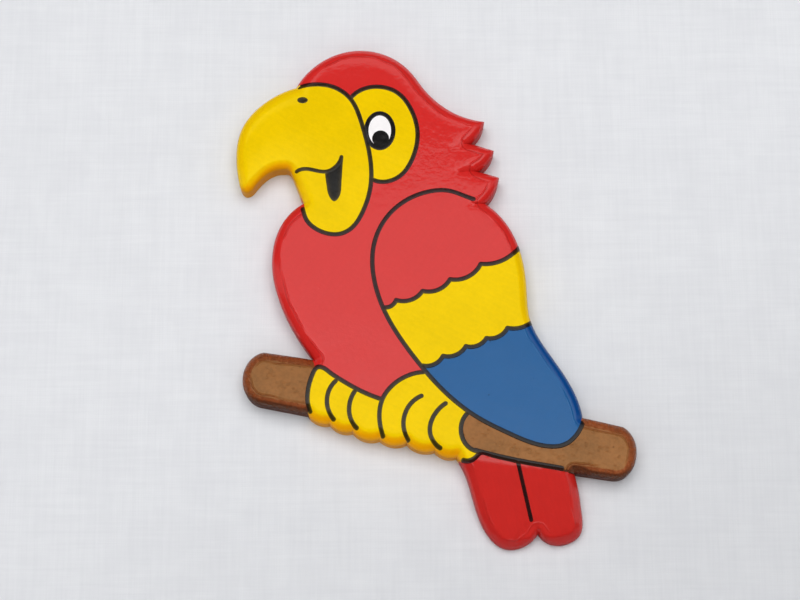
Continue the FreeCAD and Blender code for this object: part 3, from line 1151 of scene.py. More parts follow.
# ------------------------------------------------------------------------------ shader groups
class Graph:
    """Adds nodes to one node tree and links them. Scales of patterns are in cells to the metre."""

    def __init__(self, tree: bpy.types.NodeTree) -> None:
        """Keeps the tree."""
        self.tree = tree

    def add(self, kind: str, inputs: dict | None = None, **settings: object) -> bpy.types.Node:
        """Adds a node.

        Args:
            kind: Its type, without the leading ShaderNode.
            inputs: Values or output sockets by input name or number.
            **settings: Properties of the node.

        Returns:
            The node.
        """
        node = self.tree.nodes.new("ShaderNode" + kind)
        for name, value in settings.items():
            setattr(node, name, value)
        self.feed(node, inputs or {})
        return node

    def feed(self, node: bpy.types.Node, inputs: dict) -> None:
        """Gives a node's inputs values or links.

        Args:
            node: The node.
            inputs: Values or output sockets by input name or number.
        """
        for name, value in inputs.items():
            if isinstance(value, bpy.types.NodeSocket):
                self.tree.links.new(value, node.inputs[name])
            else:
                node.inputs[name].default_value = value

    def math(
        self, operation: str, first: object, second: object = 0.0, third: object = 0.0
    ) -> bpy.types.NodeSocket:
        """The result of a Math node."""
        inputs = {0: first, 1: second, 2: third}
        return self.add("Math", inputs, operation=operation).outputs[0]

    def product(self, first: object, *others: object) -> bpy.types.NodeSocket:
        """Multiplies values.

        Args:
            first: The first value.
            *others: The others.

        Returns:
            Their product.
        """
        for other in others:
            first = self.math("MULTIPLY", first, other)
        return first

    def total(self, *parts: tuple[object, object]) -> bpy.types.NodeSocket:
        """Adds up values.

        Args:
            *parts: Each value with its weight.

        Returns:
            Their sum.
        """
        found = 0.0
        for value, weight in parts:
            found = self.math("MULTIPLY_ADD", value, weight, found)
        return found

    def spots(self, coords: object, scale: float, rarity: float, size: float) -> bpy.types.NodeSocket:
        """Scattered round spots, 1 in their middles.

        Args:
            coords: Where the pattern is read.
            scale: How many cells lie along a metre.
            rarity: The share of the cells that stay empty.
            size: The spots' radius, as a share of a cell.

        Returns:
            The spots' value.
        """
        cells = self.add("TexVoronoi", {"Vector": coords, "Scale": scale}).outputs
        draw = self.add("SeparateColor", {0: cells["Color"]}).outputs[0]
        chosen = self.math("GREATER_THAN", draw, rarity)
        return self.product(self.fall(cells["Distance"], size * 0.3, size), chosen)

    def mix(
        self, share: object, first: object, second: object, blend: str = "MIX"
    ) -> bpy.types.NodeSocket:
        """The colour that a Mix node gives."""
        node = self.add("Mix", {0: share, 6: first, 7: second}, data_type="RGBA", blend_type=blend)
        return node.outputs[2]

    def ramp(
        self, value: object, low: float, high: float, to_low: float = 0.0, to_high: float = 1.0
    ) -> bpy.types.NodeSocket:
        """A value that goes smoothly from to_low at low to to_high at high."""
        node = self.add(
            "MapRange",
            {0: value, 1: low, 2: high, 3: to_low, 4: to_high},
            interpolation_type="SMOOTHSTEP",
        )
        return node.outputs[0]

    def fall(self, value: object, low: float, high: float) -> bpy.types.NodeSocket:
        """A value that falls smoothly from 1 at low to 0 at high."""
        return self.ramp(value, low, high, 1.0, 0.0)

    def swing(self, value: object, low: float = 0.3, high: float = 0.7) -> bpy.types.NodeSocket:
        """A value that rises smoothly from -0.5 at low to 0.5 at high."""
        return self.ramp(value, low, high, -0.5, 0.5)

    def grey(self, value: object) -> bpy.types.NodeSocket:
        """The value as a grey colour."""
        return self.add("CombineColor", {0: value, 1: value, 2: value}).outputs[0]

    def place(self) -> bpy.types.NodeSocket:
        """Where the shaded point lies, in metres."""
        return self.add("TexCoord").outputs["Object"]

    def noise(
        self, coords: object, scale: object, detail: float = 2.0, rough: float = 0.5
    ) -> bpy.types.NodeSocket:
        """The value of a Noise Texture."""
        inputs = {"Vector": coords, "Scale": scale, "Detail": detail, "Roughness": rough}
        return self.add("TexNoise", inputs).outputs[0]

    def stretched(self, coords: object, scale: tuple, turn: object = 0.0) -> bpy.types.NodeSocket:
        """Coordinates turned about Y and then scaled along each axis."""
        turned = self.add("VectorRotate", {"Vector": coords, "Angle": turn}, rotation_type="Y_AXIS")
        return self.add("Mapping", {"Vector": turned.outputs[0], "Scale": scale}).outputs[0]


def open_group(name: str, inputs: dict, outputs: dict) -> tuple[Graph, dict, bpy.types.Node]:
    """Starts a shader node group with named sockets.

    Args:
        name: The group's name.
        inputs: Socket type and default by input name.
        outputs: Socket type by output name.

    Returns:
        Its graph, its inputs by name, and its output node.
    """
    tree = bpy.data.node_groups.new(name, "ShaderNodeTree")
    for label, (kind, default) in inputs.items():
        socket = tree.interface.new_socket(label, in_out="INPUT", socket_type="NodeSocket" + kind)
        if default is not None:
            socket.default_value = default
    for label, kind in outputs.items():
        tree.interface.new_socket(label, in_out="OUTPUT", socket_type="NodeSocket" + kind)
    graph = Graph(tree)
    entry = tree.nodes.new("NodeGroupInput")
    given = {socket.name: socket for socket in entry.outputs if socket.name}
    return graph, given, tree.nodes.new("NodeGroupOutput")


def close_group(graph: Graph, exit_node: bpy.types.Node, results: dict) -> bpy.types.NodeTree:
    """Links a group's results to its outputs.

    Args:
        graph: The group's graph.
        exit_node: Its output node.
        results: Its output sockets by output name.

    Returns:
        The group.
    """
    for name, socket in results.items():
        graph.tree.links.new(socket, exit_node.inputs[name])
    return graph.tree


class BrushedCoat:
    """The parts of a brushed coat of enamel, as values in one graph."""

    def __init__(self, graph: Graph, given: dict) -> None:
        """Adds the nodes of every part.

        Args:
            graph: The graph that they go into.
            given: The group's inputs by name.
        """
        self.graph = graph
        self.given = given
        self.place = graph.place()
        self.depth = graph.add("Attribute", attribute_name="edge_depth").outputs["Fac"]
        self._find_regions()
        self._add_marks()
        self._add_ridge()

    def _find_regions(self) -> None:
        """The sloping rim, the wall and what faces down, on all of which the colour paints shade."""
        graph = self.graph
        normal = graph.add("SeparateXYZ", {0: graph.add("NewGeometry").outputs["Normal"]}).outputs
        steep = graph.fall(graph.math("ABSOLUTE", normal[1]), 0.2, 0.6)
        self.rim = graph.fall(self.depth, 1.2, 1.5)
        self.wall = graph.math("MAXIMUM", graph.fall(self.depth, -0.5, 0.1), steep)
        self.low = graph.fall(normal[2], -0.6, -0.12)

    def _add_marks(self) -> None:
        """Streaks, swells, peel, dents, nibs of dust, pinholes and grit."""
        graph, given, place = self.graph, self.given, self.place
        self.streaks = graph.noise(
            graph.stretched(place, (1900, 1900, 230), given["Stroke Turn"]), 1.0, 3.0)
        self.swells = graph.noise(place, 260.0, 1.0)
        self.peel = graph.noise(place, 1250.0, 2.0)
        dents = graph.noise(graph.stretched(place, (620, 900, 900)), 1.0, 3.0)
        self.dents = graph.product(graph.ramp(dents, 0.55, 0.72), given["Mottle"])
        self.nibs = graph.spots(place, 330.0, 0.8, 0.09)
        self.holes = graph.product(graph.spots(place, 400.0, 0.8, 0.12), given["Pinholes"])
        grit = graph.ramp(graph.noise(place, 1500.0, 3.0, 0.65), 0.35, 0.7)
        self.grit = graph.product(self.rim, given["Rim Grit"], grit)

    def _add_ridge(self) -> None:
        """The ridge that the brush leaves inside the edge, in broken runs, and a painted shade line at its
        outer foot.
        """
        graph = self.graph
        sway = graph.math("MULTIPLY_ADD", graph.noise(self.place, 190.0, 3.0), 1.1, 1.15)
        off_ridge = graph.math("SUBTRACT", self.depth, sway)
        off_shaded_foot = graph.math("ADD", off_ridge, 0.2)
        broken = graph.ramp(graph.noise(self.place, 120.0, 1.0), 0.38, 0.5)
        self.ridge, self.foot = (
            graph.product(graph.fall(graph.math("ABSOLUTE", off), 0.0, width), broken, self.given["Ridge"])
            for off, width in ((off_ridge, 0.2), (off_shaded_foot, 0.16))
        )

    def colour(self) -> bpy.types.NodeSocket:
        """Darkens the enamel in its dents and holes, and paints shade on its wall, edge, foot and
        underside.

        Returns:
            Its colour.
        """
        graph, given = self.graph, self.given
        blotch = graph.swing(graph.noise(self.place, 140.0, 3.0))
        grain = graph.swing(graph.noise(self.place, 1700.0, 2.0))
        # The wall and foot terms darken the colour: painted shade.
        value = graph.total(
            (1.0, 1.0),
            (graph.swing(self.streaks), graph.math("MULTIPLY", given["Streaks"], 0.07)),
            (blotch, graph.math("MULTIPLY_ADD", given["Mottle"], 0.22, 0.02)),
            (grain, graph.math("MULTIPLY_ADD", given["Mottle"], 0.12, 0.015)),
            (self.dents, -0.14), (self.holes, -0.6), (self.grit, -0.22), (self.foot, -0.22),
            (self.wall, -0.15),
        )
        # Painted shade: the sloping edge and the ridge's foot take the darker rim colour.
        edge = graph.math("MAXIMUM", self.rim, self.foot)
        colour = graph.mix(edge, given["Colour"], given["Rim Shade Colour"])
        # Painted shade: what faces down takes the darker low colour.
        colour = graph.mix(self.low, colour, given["Low Shade Colour"])
        return graph.mix(1.0, colour, graph.grey(value), "MULTIPLY")

    def height(self) -> bpy.types.NodeSocket:
        """Adds up how far the marks stand up.

        Returns:
            The height for the bumps.
        """
        return self.graph.total(
            (self.streaks, self.graph.math("MULTIPLY", self.given["Streaks"], 0.5)),
            (self.swells, 1.6), (self.nibs, 0.9), (self.peel, self.given["Peel"]),
            (self.dents, -2.2), (self.holes, -2.0), (self.grit, 7.0), (self.ridge, 6.0),
        )

    def roughness(self) -> bpy.types.NodeSocket:
        """How dull the enamel is."""
        return self.graph.total((self.given["Gloss"], 1.0), (self.grit, 0.1), (self.wall, 0.3))

    def sheen(self) -> bpy.types.NodeSocket:
        """How strongly the enamel mirrors."""
        return self.graph.total((1.0, 0.5), (self.wall, -0.3), (self.low, -0.16))


def make_brush_group() -> bpy.types.NodeTree:
    """Enamel as a brush leaves it: streaks, peel, dust, pinholes, a ridge inside the edge, and painted
    shade.

    The points' edge_depth attribute gives millimetres in from the outline, and is negative on the wall.

    Returns:
        A group whose outputs are Colour, Roughness, Sheen and Height.
    """
    grey = (0.5, 0.5, 0.5, 1)
    graph, given, leave = open_group(
        "brushed_enamel",
        {
            "Colour": ("Color", grey),
            "Rim Shade Colour": ("Color", grey),
            "Low Shade Colour": ("Color", grey),
            "Stroke Turn": ("Float", 0.0),
            "Streaks": ("Float", 0.5),
            "Mottle": ("Float", 0.0),
            "Peel": ("Float", 1.0),
            "Pinholes": ("Float", 0.0),
            "Rim Grit": ("Float", 0.0),
            "Ridge": ("Float", 0.5),
            "Gloss": ("Float", 0.12),
        },
        {"Colour": "Color", "Roughness": "Float", "Sheen": "Float", "Height": "Float"},
    )
    coat = BrushedCoat(graph, given)
    results = {
        "Colour": coat.colour(),
        "Roughness": coat.roughness(),
        "Sheen": coat.sheen(),
        "Height": coat.height(),
    }
    return close_group(graph, leave, results)


def make_grain_group() -> bpy.types.NodeTree:
    """Sanded pale wood with its grain along Z.

    Returns:
        A group whose outputs are Tone, from 0 to 1, and Height.
    """
    graph, given, leave = open_group(
        "straight_grain",
        {"Ring Pitch": ("Float", 420.0), "Pores": ("Float", 0.6)},
        {"Tone": "Float", "Height": "Float"},
    )
    place = graph.place()
    sway = graph.noise(graph.stretched(place, (60, 60, 14)), 1.0, 2.0)
    bend = graph.add("CombineXYZ", {0: graph.math("MULTIPLY", sway, 0.012)}).outputs[0]
    bent = graph.add("VectorMath", {0: place, 1: bend}, operation="ADD").outputs[0]
    across = graph.add("SeparateXYZ", {0: bent}).outputs[0]
    rings = graph.math("FRACT", graph.math("MULTIPLY", across, given["Ring Pitch"]))
    rings = graph.product(graph.ramp(rings, 0.0, 0.85), graph.ramp(rings, 1.0, 0.9))
    fibre = graph.noise(graph.stretched(place, (5200, 5200, 240)), 1.0, 3.0)
    pores = graph.ramp(graph.noise(graph.stretched(place, (7000, 7000, 520)), 1.0, 1.0), 0.66, 0.74)
    pores = graph.product(pores, given["Pores"])
    tone = graph.total((rings, 0.5), (fibre, 0.5), (pores, 0.5))
    height = graph.total((fibre, 0.6), (pores, -1.0))
    return close_group(graph, leave, {"Tone": tone, "Height": height})


def make_speck_group() -> bpy.types.NodeTree:
    """Fine specks and smudges, for moulded or ground surfaces.

    Returns:
        A group whose outputs are Speck and Smudge, both from 0 to 1.
    """
    graph, given, leave = open_group(
        "specks", {"Scale": ("Float", 3000.0)}, {"Speck": "Float", "Smudge": "Float"})
    place = graph.place()
    speck = graph.ramp(graph.noise(place, given["Scale"], 3.0), 0.45, 0.75)
    smudge = graph.ramp(graph.noise(place, 210.0, 3.0), 0.35, 0.7)
    return close_group(graph, leave, {"Speck": speck, "Smudge": smudge})


def make_weave_group() -> bpy.types.NodeTree:
    """Fine plain-woven cotton, with slubs along both ways of its threads.

    Returns:
        A group whose outputs are Tone, about 0.5 on the whole, and Height.
    """
    graph, given, leave = open_group(
        "plain_weave",
        {"Warp Pitch": ("Float", 0.00048), "Weft Pitch": ("Float", 0.00042)},
        {"Tone": "Float", "Height": "Float"},
    )
    place = graph.place()
    axes = graph.add("SeparateXYZ", {0: place}).outputs
    lean = graph.math("MULTIPLY", graph.noise(place, 45.0, 2.0), 0.0012)
    waves = []
    for axis, pitch in ((0, "Warp Pitch"), (2, "Weft Pitch")):
        turns = graph.math("DIVIDE", graph.math("ADD", axes[axis], lean), given[pitch])
        waves.append(graph.math("ABSOLUTE", graph.math("SINE", graph.math("MULTIPLY", turns, math.pi))))
    weave = graph.math("MULTIPLY", graph.math("ADD", *waves), 0.5)
    weave = graph.product(weave, graph.ramp(graph.noise(place, 150.0, 2.0), 0.45, 0.62))
    slubs = thread_noise(graph, place, across=2100, along=95, detail=2.0)
    broad = thread_noise(graph, place, across=800, along=50, detail=3.0)
    cloudy = graph.noise(place, 55.0, 3.0, 0.6)
    height = graph.total((weave, 0.4), (slubs, 1.2), (broad, 1.0))
    tone = graph.total((weave, 0.08), (slubs, 0.4), (broad, 0.36), (cloudy, 0.2))
    return close_group(graph, leave, {"Tone": tone, "Height": height})


def thread_noise(
    graph: Graph, place: object, across: float, along: float, detail: float
) -> bpy.types.NodeSocket:
    """Noise drawn out along both ways of the threads, half and half.

    Args:
        graph: The graph that it goes into.
        place: Where it is read.
        across: Its scale across the threads.
        along: Its scale along them.
        detail: How fine it goes.

    Returns:
        The noise's value.
    """
    upward = graph.noise(graph.stretched(place, (across, across, along)), 1.0, detail, 0.6)
    sideways = graph.noise(graph.stretched(place, (along, across, across)), 1.0, detail, 0.6)
    return graph.total((upward, 0.5), (sideways, 0.5))


class Groups:
    """The shader node groups that finishes share, each made once."""

    def __init__(self) -> None:
        """Makes every group."""
        self.brush = make_brush_group()
        self.grain = make_grain_group()
        self.specks = make_speck_group()
        self.weave = make_weave_group()


def srgb(red: int, green: int, blue: int) -> tuple[float, float, float, float]:
    """Makes a colour as the linear values that a shader takes.

    Args:
        red: Its red, from 0 to 255.
        green: Its green.
        blue: Its blue.

    Returns:
        Red, green, blue and an alpha of 1.
    """
    shares = [channel / 255 for channel in (red, green, blue)]
    linear = [s / 12.92 if s <= 0.04045 else ((s + 0.055) / 1.055) ** 2.4 for s in shares]
    return (*linear, 1.0)


def new_material(name: str) -> tuple[bpy.types.Material, Graph, bpy.types.Node]:
    """Starts a material with a Principled BSDF.

    Args:
        name: The material's name.

    Returns:
        The material, its graph and its shader.
    """
    material = bpy.data.materials.new(name)
    material.use_nodes = True
    graph = Graph(material.node_tree)
    return material, graph, material.node_tree.nodes["Principled BSDF"]


# ------------------------------------------------------------------------------ finishes
@dataclass(frozen=True)
class Enamel:
    """A brushed enamel.

    Attributes:
        name: The material's name.
        slot: The record's material slot.
        colour: Its colour on the flat.
        rim_shade_colour: Its darker colour on the sloping edge and at the ridge's foot: painted shade.
        low_shade_colour: Its darker colour where the edge faces down: painted shade.
        turn: Which way the brush went, in degrees from the vertical.
        streaks: How strongly the brush marks show.
        mottle: How blotched and dented it is.
        peel: How strongly its skin is dimpled.
        pinholes: How dark its pinholes are.
        grit: How rough it is on the edge.
        ridge: How strongly a ridge of paint stands inside the edge.
        gloss: Its roughness on the flat.
        sheen: How strongly it mirrors, where 1 is usual.
        sheen_tint: Colour of what it mirrors.
        shows_beneath: How much of the coat beneath shows through it.
        relief: Depth of its surface marks, in metres.
    """

    name: str
    slot: str
    colour: tuple[float, float, float, float]
    rim_shade_colour: tuple[float, float, float, float]
    low_shade_colour: tuple[float, float, float, float]
    turn: float = 20.0
    streaks: float = 0.3
    mottle: float = 0.0
    peel: float = 1.0
    pinholes: float = 0.0
    grit: float = 0.0
    ridge: float = 0.4
    gloss: float = 0.09
    sheen: float = 1.0
    sheen_tint: tuple[float, float, float, float] = (1.0, 1.0, 1.0, 1.0)
    shows_beneath: float = 0.0
    relief: float = 0.000014

    def make(self, groups: Groups) -> bpy.types.Material:
        """Makes the material.

        Args:
            groups: The shader groups that it takes its effects from.

        Returns:
            The material.
        """
        material, graph, shader = new_material(self.name)
        values = {
            "Colour": self.colour, "Rim Shade Colour": self.rim_shade_colour, "Low Shade Colour": self.low_shade_colour,
            "Stroke Turn": math.radians(self.turn), "Streaks": self.streaks, "Mottle": self.mottle,
            "Peel": self.peel, "Pinholes": self.pinholes, "Rim Grit": self.grit, "Ridge": self.ridge,
            "Gloss": self.gloss,
        }
        brush = graph.add("Group", values, node_tree=groups.brush).outputs
        colour = brush["Colour"]
        if self.shows_beneath:
            beneath = graph.add("Attribute", attribute_name="coat_beneath").outputs
            share = graph.math("MULTIPLY", beneath["Alpha"], self.shows_beneath)
            colour = graph.mix(share, colour, beneath["Color"])
        bump = graph.add("Bump", {"Height": brush["Height"], "Distance": self.relief})
        level = graph.math("MULTIPLY", brush["Sheen"], self.sheen)
        graph.feed(shader, {
            "Base Color": colour, "Roughness": brush["Roughness"], "Specular IOR Level": level,
            "Normal": bump.outputs[0], "Specular Tint": self.sheen_tint,
        })
        return material


@dataclass(frozen=True)
class BareWood:
    """The sanded back of the board, with paint dust in its grain.

    Attributes:
        name: The material's name.
        slot: The record's material slot.
        pale: Its colour between the rings.
        dark: Its colour on the rings.
        soil: The colour of what has soiled it.
        soiled: How far that shows at most.
        relief: Depth of its grain, in metres.
    """

    name: str = "bare_wood"
    slot: str = "bare_wood"
    pale: tuple[float, float, float, float] = srgb(222, 194, 152)
    dark: tuple[float, float, float, float] = srgb(186, 148, 104)
    soil: tuple[float, float, float, float] = srgb(150, 118, 86)
    soiled: float = 0.22
    relief: float = 0.00003

    def make(self, groups: Groups) -> bpy.types.Material:
        """Makes the material.

        Args:
            groups: The shader groups that it takes its effects from.

        Returns:
            The material.
        """
        material, graph, shader = new_material(self.name)
        grain = graph.add("Group", node_tree=groups.grain).outputs
        specks = graph.add("Group", node_tree=groups.specks).outputs
        colour = graph.mix(grain["Tone"], self.pale, self.dark)
        colour = graph.mix(graph.math("MULTIPLY", specks["Smudge"], self.soiled), colour, self.soil)
        bump = graph.add("Bump", {"Height": grain["Height"], "Distance": self.relief}).outputs[0]
        rough = graph.math("MULTIPLY_ADD", grain["Tone"], 0.2, 0.62)
        graph.feed(shader, {"Base Color": colour, "Roughness": rough, "Normal": bump})
        return material


@dataclass(frozen=True)
class Speckled:
    """A matt grained surface, such as ground ferrite or set glue.

    Attributes:
        name: The material's name.
        slot: The record's material slot.
        colour: Its colour.
        speck_colour: The colour of its specks.
        roughness: Its roughness between smudges.
        scale: How many specks lie along a metre.
        relief: Height of the specks, in metres.
    """

    name: str
    slot: str
    colour: tuple[float, float, float, float]
    speck_colour: tuple[float, float, float, float]
    roughness: float
    scale: float = 3000.0
    relief: float = 0.00001

    def make(self, groups: Groups) -> bpy.types.Material:
        """Makes the material.

        Args:
            groups: The shader groups that it takes its effects from.

        Returns:
            The material.
        """
        material, graph, shader = new_material(self.name)
        specks = graph.add("Group", {"Scale": self.scale}, node_tree=groups.specks).outputs
        share = graph.total((specks["Speck"], 0.6), (specks["Smudge"], 0.3))
        colour = graph.mix(share, self.colour, self.speck_colour)
        rough = graph.math("MULTIPLY_ADD", specks["Smudge"], 0.15, self.roughness)
        bump = graph.add("Bump", {"Height": specks["Speck"], "Distance": self.relief}).outputs[0]
        graph.feed(shader, {"Base Color": colour, "Roughness": rough, "Normal": bump})
        return material


@dataclass(frozen=True)
class Cotton:
    """The pale cloth behind the figure, seen from its front only, with painted shade lower down and to the
    right.

    Attributes:
        name: The material's name.
        pale: Its colour on the threads.
        dark: Its colour between them.
        lean: How much a way to the right counts as a way down.
        shade_span: How far down the painted shade starts and ends, in metres.
        shaded_tone: How bright the cloth is where the painted shade is deepest, as a share.
        touch: How near a surface the cloth lets its light through, in metres, so that the figure's
            back isn't dark from behind.
    """

    name: str = "white_cotton"
    pale: tuple[float, float, float, float] = srgb(231, 232, 234)
    dark: tuple[float, float, float, float] = srgb(219, 220, 223)
    lean: float = 0.45
    shade_span: tuple[float, float] = (-0.02, 0.10)
    shaded_tone: float = 0.865
    touch: float = 0.0003

    def make(self, groups: Groups) -> bpy.types.Material:
        """Makes the material.

        Args:
            groups: The shader groups that it takes its effects from.

        Returns:
            The material.
        """
        material, graph, shader = new_material(self.name)
        weave = graph.add("Group", node_tree=groups.weave).outputs
        colour = graph.mix(graph.ramp(weave["Tone"], 0.25, 0.75), self.dark, self.pale)
        place = graph.add("SeparateXYZ", {0: graph.place()}).outputs
        # Painted shade: the cloth darkens lower down and to the right.
        down = graph.total((place[0], self.lean), (place[2], -1.0))
        tone = graph.ramp(down, *self.shade_span, 1.0, self.shaded_tone)
        colour = graph.mix(1.0, colour, graph.grey(tone), "MULTIPLY")
        bump = graph.add("Bump", {"Height": weave["Height"], "Distance": 0.00002}).outputs[0]
        graph.feed(shader, {
            "Base Color": colour, "Normal": bump, "Roughness": 0.9, "Specular IOR Level": 0.2,
        })
        behind = graph.add("NewGeometry").outputs["Backfacing"]
        length = graph.add("LightPath").outputs["Ray Length"]
        behind = graph.math("MAXIMUM", behind, graph.math("LESS_THAN", length, self.touch))
        clear = graph.add("BsdfTransparent").outputs[0]
        either = graph.add("MixShader", {0: behind, 1: shader.outputs[0], 2: clear})
        graph.tree.links.new(either.outputs[0], graph.tree.nodes["Material Output"].inputs[0])
        return material


RED = srgb(211, 41, 38)
# The tail is painted with the same red; its darker red is painted shade for its slope away from the light.
SHADED_TAIL_RED = srgb(197, 37, 32)
YELLOW = srgb(239, 199, 3)
BLUE = srgb(8, 84, 142)
BROWN = srgb(139, 86, 45)
WHITE = srgb(251, 247, 246)
BLACK = srgb(14, 12, 11)
# Each enamel's rim and low colours are darker copies of its colour: painted shade.
ENAMELS = {
    "red": Enamel(
        "red_enamel", "red_enamel", RED, srgb(208, 38, 34), srgb(198, 32, 28), turn=-38.0, peel=1.6,
        gloss=0.07, ridge=1.0,
    ),
    # A darker, shaded copy of the red enamel for the sloping tail: painted shade.
    "tail": Enamel(
        "red_tail_enamel", "red_enamel", SHADED_TAIL_RED, SHADED_TAIL_RED, srgb(182, 30, 26), turn=12.0,
        streaks=0.8, ridge=0.6,
    ),
    "yellow": Enamel(
        "yellow_enamel", "yellow_enamel", YELLOW, srgb(238, 193, 3), srgb(232, 156, 4), turn=62.0,
        streaks=0.5, mottle=0.15, ridge=0.0, sheen_tint=(1.0, 0.93, 0.12, 1.0),
    ),
    "blue": Enamel(
        "blue_enamel", "blue_enamel", BLUE, srgb(6, 66, 130), srgb(5, 50, 104), turn=-25.0,
        pinholes=1.0, sheen_tint=(0.75, 0.9, 1.0, 1.0),
    ),
    "brown": Enamel(
        "brown_enamel", "brown_enamel", BROWN, srgb(138, 68, 34), srgb(92, 44, 24), turn=80.0,
        mottle=1.0, peel=1.5, pinholes=0.8, grit=1.0, ridge=1.0, sheen_tint=(1.0, 0.88, 0.5, 1.0),
    ),
    "white": Enamel("white_enamel", "white_enamel", WHITE, WHITE, WHITE, ridge=0.0),
    "black": Enamel(
        "black_line_paint", "black_line_paint", BLACK, BLACK, BLACK, ridge=0.0, gloss=0.12,
        sheen=0.72, shows_beneath=0.16,
    ),
}
FERRITE = Speckled("ferrite", "ferrite", srgb(62, 62, 65), srgb(96, 96, 100), 0.55)
GLUE = Speckled("epoxy_glue", "epoxy_glue", srgb(206, 188, 140), srgb(186, 160, 104), 0.3)


def enamel_of(node: str) -> str:
    """Tells which enamel covers a node of the painted face.

    Args:
        node: The CAD node's name.

    Returns:
        The enamel's key.
    """
    if node in LINES:
        return "black"
    return "tail" if node == "red_tail_paint" else node.split("_")[0]


# ------------------------------------------------------------------------------ sub-assemblies
@dataclass
class PaintedFace:
    """The coats and black lines."""

    skin: Skin

    def build(self, groups: Groups) -> None:
        """Makes every coat and line and dresses it.

        Args:
            groups: The shader groups that its materials take their effects from.
        """
        made = {name: finish.make(groups) for name, finish in ENAMELS.items()}
        for node in (*COATS, *LINES):
            enamel = enamel_of(node)
            finish_piece(self.skin.piece(node), made[enamel], ENAMELS[enamel].slot, node)


@dataclass
class Board:
    """The wooden board under the paint, with its two pockets.

    Attributes:
        shape: The carved face, at a coarse spacing.
        clearance: How far the wood stays under the paint.
        net: Distance between the points of the net over its front.
        net_gap: How far that net keeps from the outline.
        merge: Points of the plan that are closer together than this become one.
    """

    shape: CarvedFace
    clearance: float = 0.04
    net: float = 2.0
    net_gap: float = 3.6
    merge: float = 1e-5

    def build(self, groups: Groups) -> None:
        """Makes the board.

        Args:
            groups: The shader groups that its materials take their effects from.
        """
        outline = self.shape.outline
        loops = plan_loops("carved_board", back=True)
        holes = [loop for loop in loops if len(loop) != max(len(each) for each in loops)]
        front, front_faces = self._front(outline)
        back, back_faces = self._back(outline, holes)
        faces = front_faces.tolist() + (back_faces[:, ::-1] + len(front)).tolist()
        ring = np.arange(len(outline))
        faces += band(ring, ring + len(front))
        bottoms, pocket_faces = self._pockets(holes, len(front) + len(outline), len(front) + len(back))
        points = np.vstack([front, back, *bottoms])
        made = new_piece("wooden_board", points * MM, faces + pocket_faces)
        heal(made)
        finish_piece(made, BareWood().make(groups), "bare_wood", "carved_board")

    def _front(self, outline: np.ndarray) -> tuple[np.ndarray, np.ndarray]:
        """Makes the wood's front.

        Args:
            outline: The board's outline.

        Returns:
            Its points, the outline's first, and its triangles.
        """
        low, high = outline.min(0), outline.max(0)
        axes = [np.arange(start, end, self.net) for start, end in zip(low, high)]
        grid = np.stack(np.meshgrid(*axes), -1).reshape(-1, 2)
        grid = grid[within(grid, [outline]) & (self.shape.edge.reach(grid) > self.net_gap)]
        points = np.vstack([outline, self.shape.rim_rows(), grid])
        plan, faces = triangles(points, ring_edges([outline]), closed=True, merge=self.merge)
        near_tail = self.shape.tail_edge.reach(plan) < self.shape.rows[-1]
        height = self.shape.height(plan, self.shape.in_tail(plan) | near_tail) - self.clearance
        return np.stack([plan[:, 0], -height, plan[:, 1]], 1), faces

    def _back(self, outline: np.ndarray, holes: list[np.ndarray]) -> tuple[np.ndarray, np.ndarray]:
        """Makes the wood's back.

        Args:
            outline: The board's outline.
            holes: The outlines of the pockets' mouths.

        Returns:
            Its points, the outline's first and then each hole's, and its triangles.
        """
        chains = [outline, *holes]
        plan, faces = triangles(np.vstack(chains), ring_edges(chains), closed=True, merge=self.merge)
        faces = faces[within(plan[faces].mean(1), chains)]
        return np.stack([plan[:, 0], np.zeros(len(plan)), plan[:, 1]], 1), faces

    def _pockets(
        self, holes: list[np.ndarray], start: int, total: int
    ) -> tuple[list[np.ndarray], list[list[int]]]:
        """The walls and floors of the pockets.

        Args:
            holes: The outlines of their mouths.
            start: The number of the first mouth's first point.
            total: How many points there are so far.

        Returns:
            The points of each floor, and all the faces.
        """
        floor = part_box("upper_magnet_glue")[0].y / MM
        bottoms, faces = [], []
        for hole in holes:
            rim = start + np.arange(len(hole))
            bottom = total + np.arange(len(hole))
            bottoms.append(np.stack([hole[:, 0], np.full(len(hole), floor), hole[:, 1]], 1))
            faces += [*band(rim, bottom), bottom.tolist()]
            start += len(hole)
            total += len(hole)
        return bottoms, faces


def heal(made: bpy.types.Object, doubled: float = 1e-7) -> None:
    """Joins doubled points and turns every face of a mesh outwards.

    Args:
        made: The mesh's object.
        doubled: How close together doubled points are, in metres.
    """
    mesh = bmesh.new()
    mesh.from_mesh(made.data)
    bmesh.ops.remove_doubles(mesh, verts=mesh.verts, dist=doubled)
    bmesh.ops.recalc_face_normals(mesh, faces=mesh.faces)
    mesh.to_mesh(made.data)
    mesh.free()


def lathe(
    name: str,
    profile: list[tuple[float, float]],
    centre: tuple[float, float],
    turns: int = 96,
    wobble: float = 0.0,
    sharp: float = 40.0,
) -> bpy.types.Object:
    """Turns a profile about an axis along Y.

    Args:
        name: The piece's name.
        profile: Points (radius, y) in millimetres, from the axis outwards and back to it.
        centre: Where the axis stands in the plan, in millimetres.
        turns: How many steps it takes round.
        wobble: How far radii wander, as a share, where the profile is proud of the back.
        sharp: The turn from which an edge is sharp, in degrees.

    Returns:
        The piece.
    """
    points, faces = [], []
    for step in range(turns):
        turn = 2 * math.pi * step / turns
        way = (math.cos(turn), math.sin(turn))
        sway = 1 + wobble * noise.noise(Vector((way[0] * 2.2 + centre[0], way[1] * 2.2, centre[1])))
        for radius, y in profile:
            far = radius * (sway if y > 0 else 1.0)
            points.append((centre[0] + far * way[0], y, centre[1] + far * way[1]))
    size = len(profile)
    for step in range(turns):
        here, there = step * size, (step + 1) % turns * size
        for index in range(size - 1):
            faces.append([here + index, there + index, there + index + 1, here + index + 1])
    made = new_piece(name, np.array(points) * MM, faces)
    heal(made)
    made.data.set_sharp_from_angle(angle=math.radians(sharp))
    return made


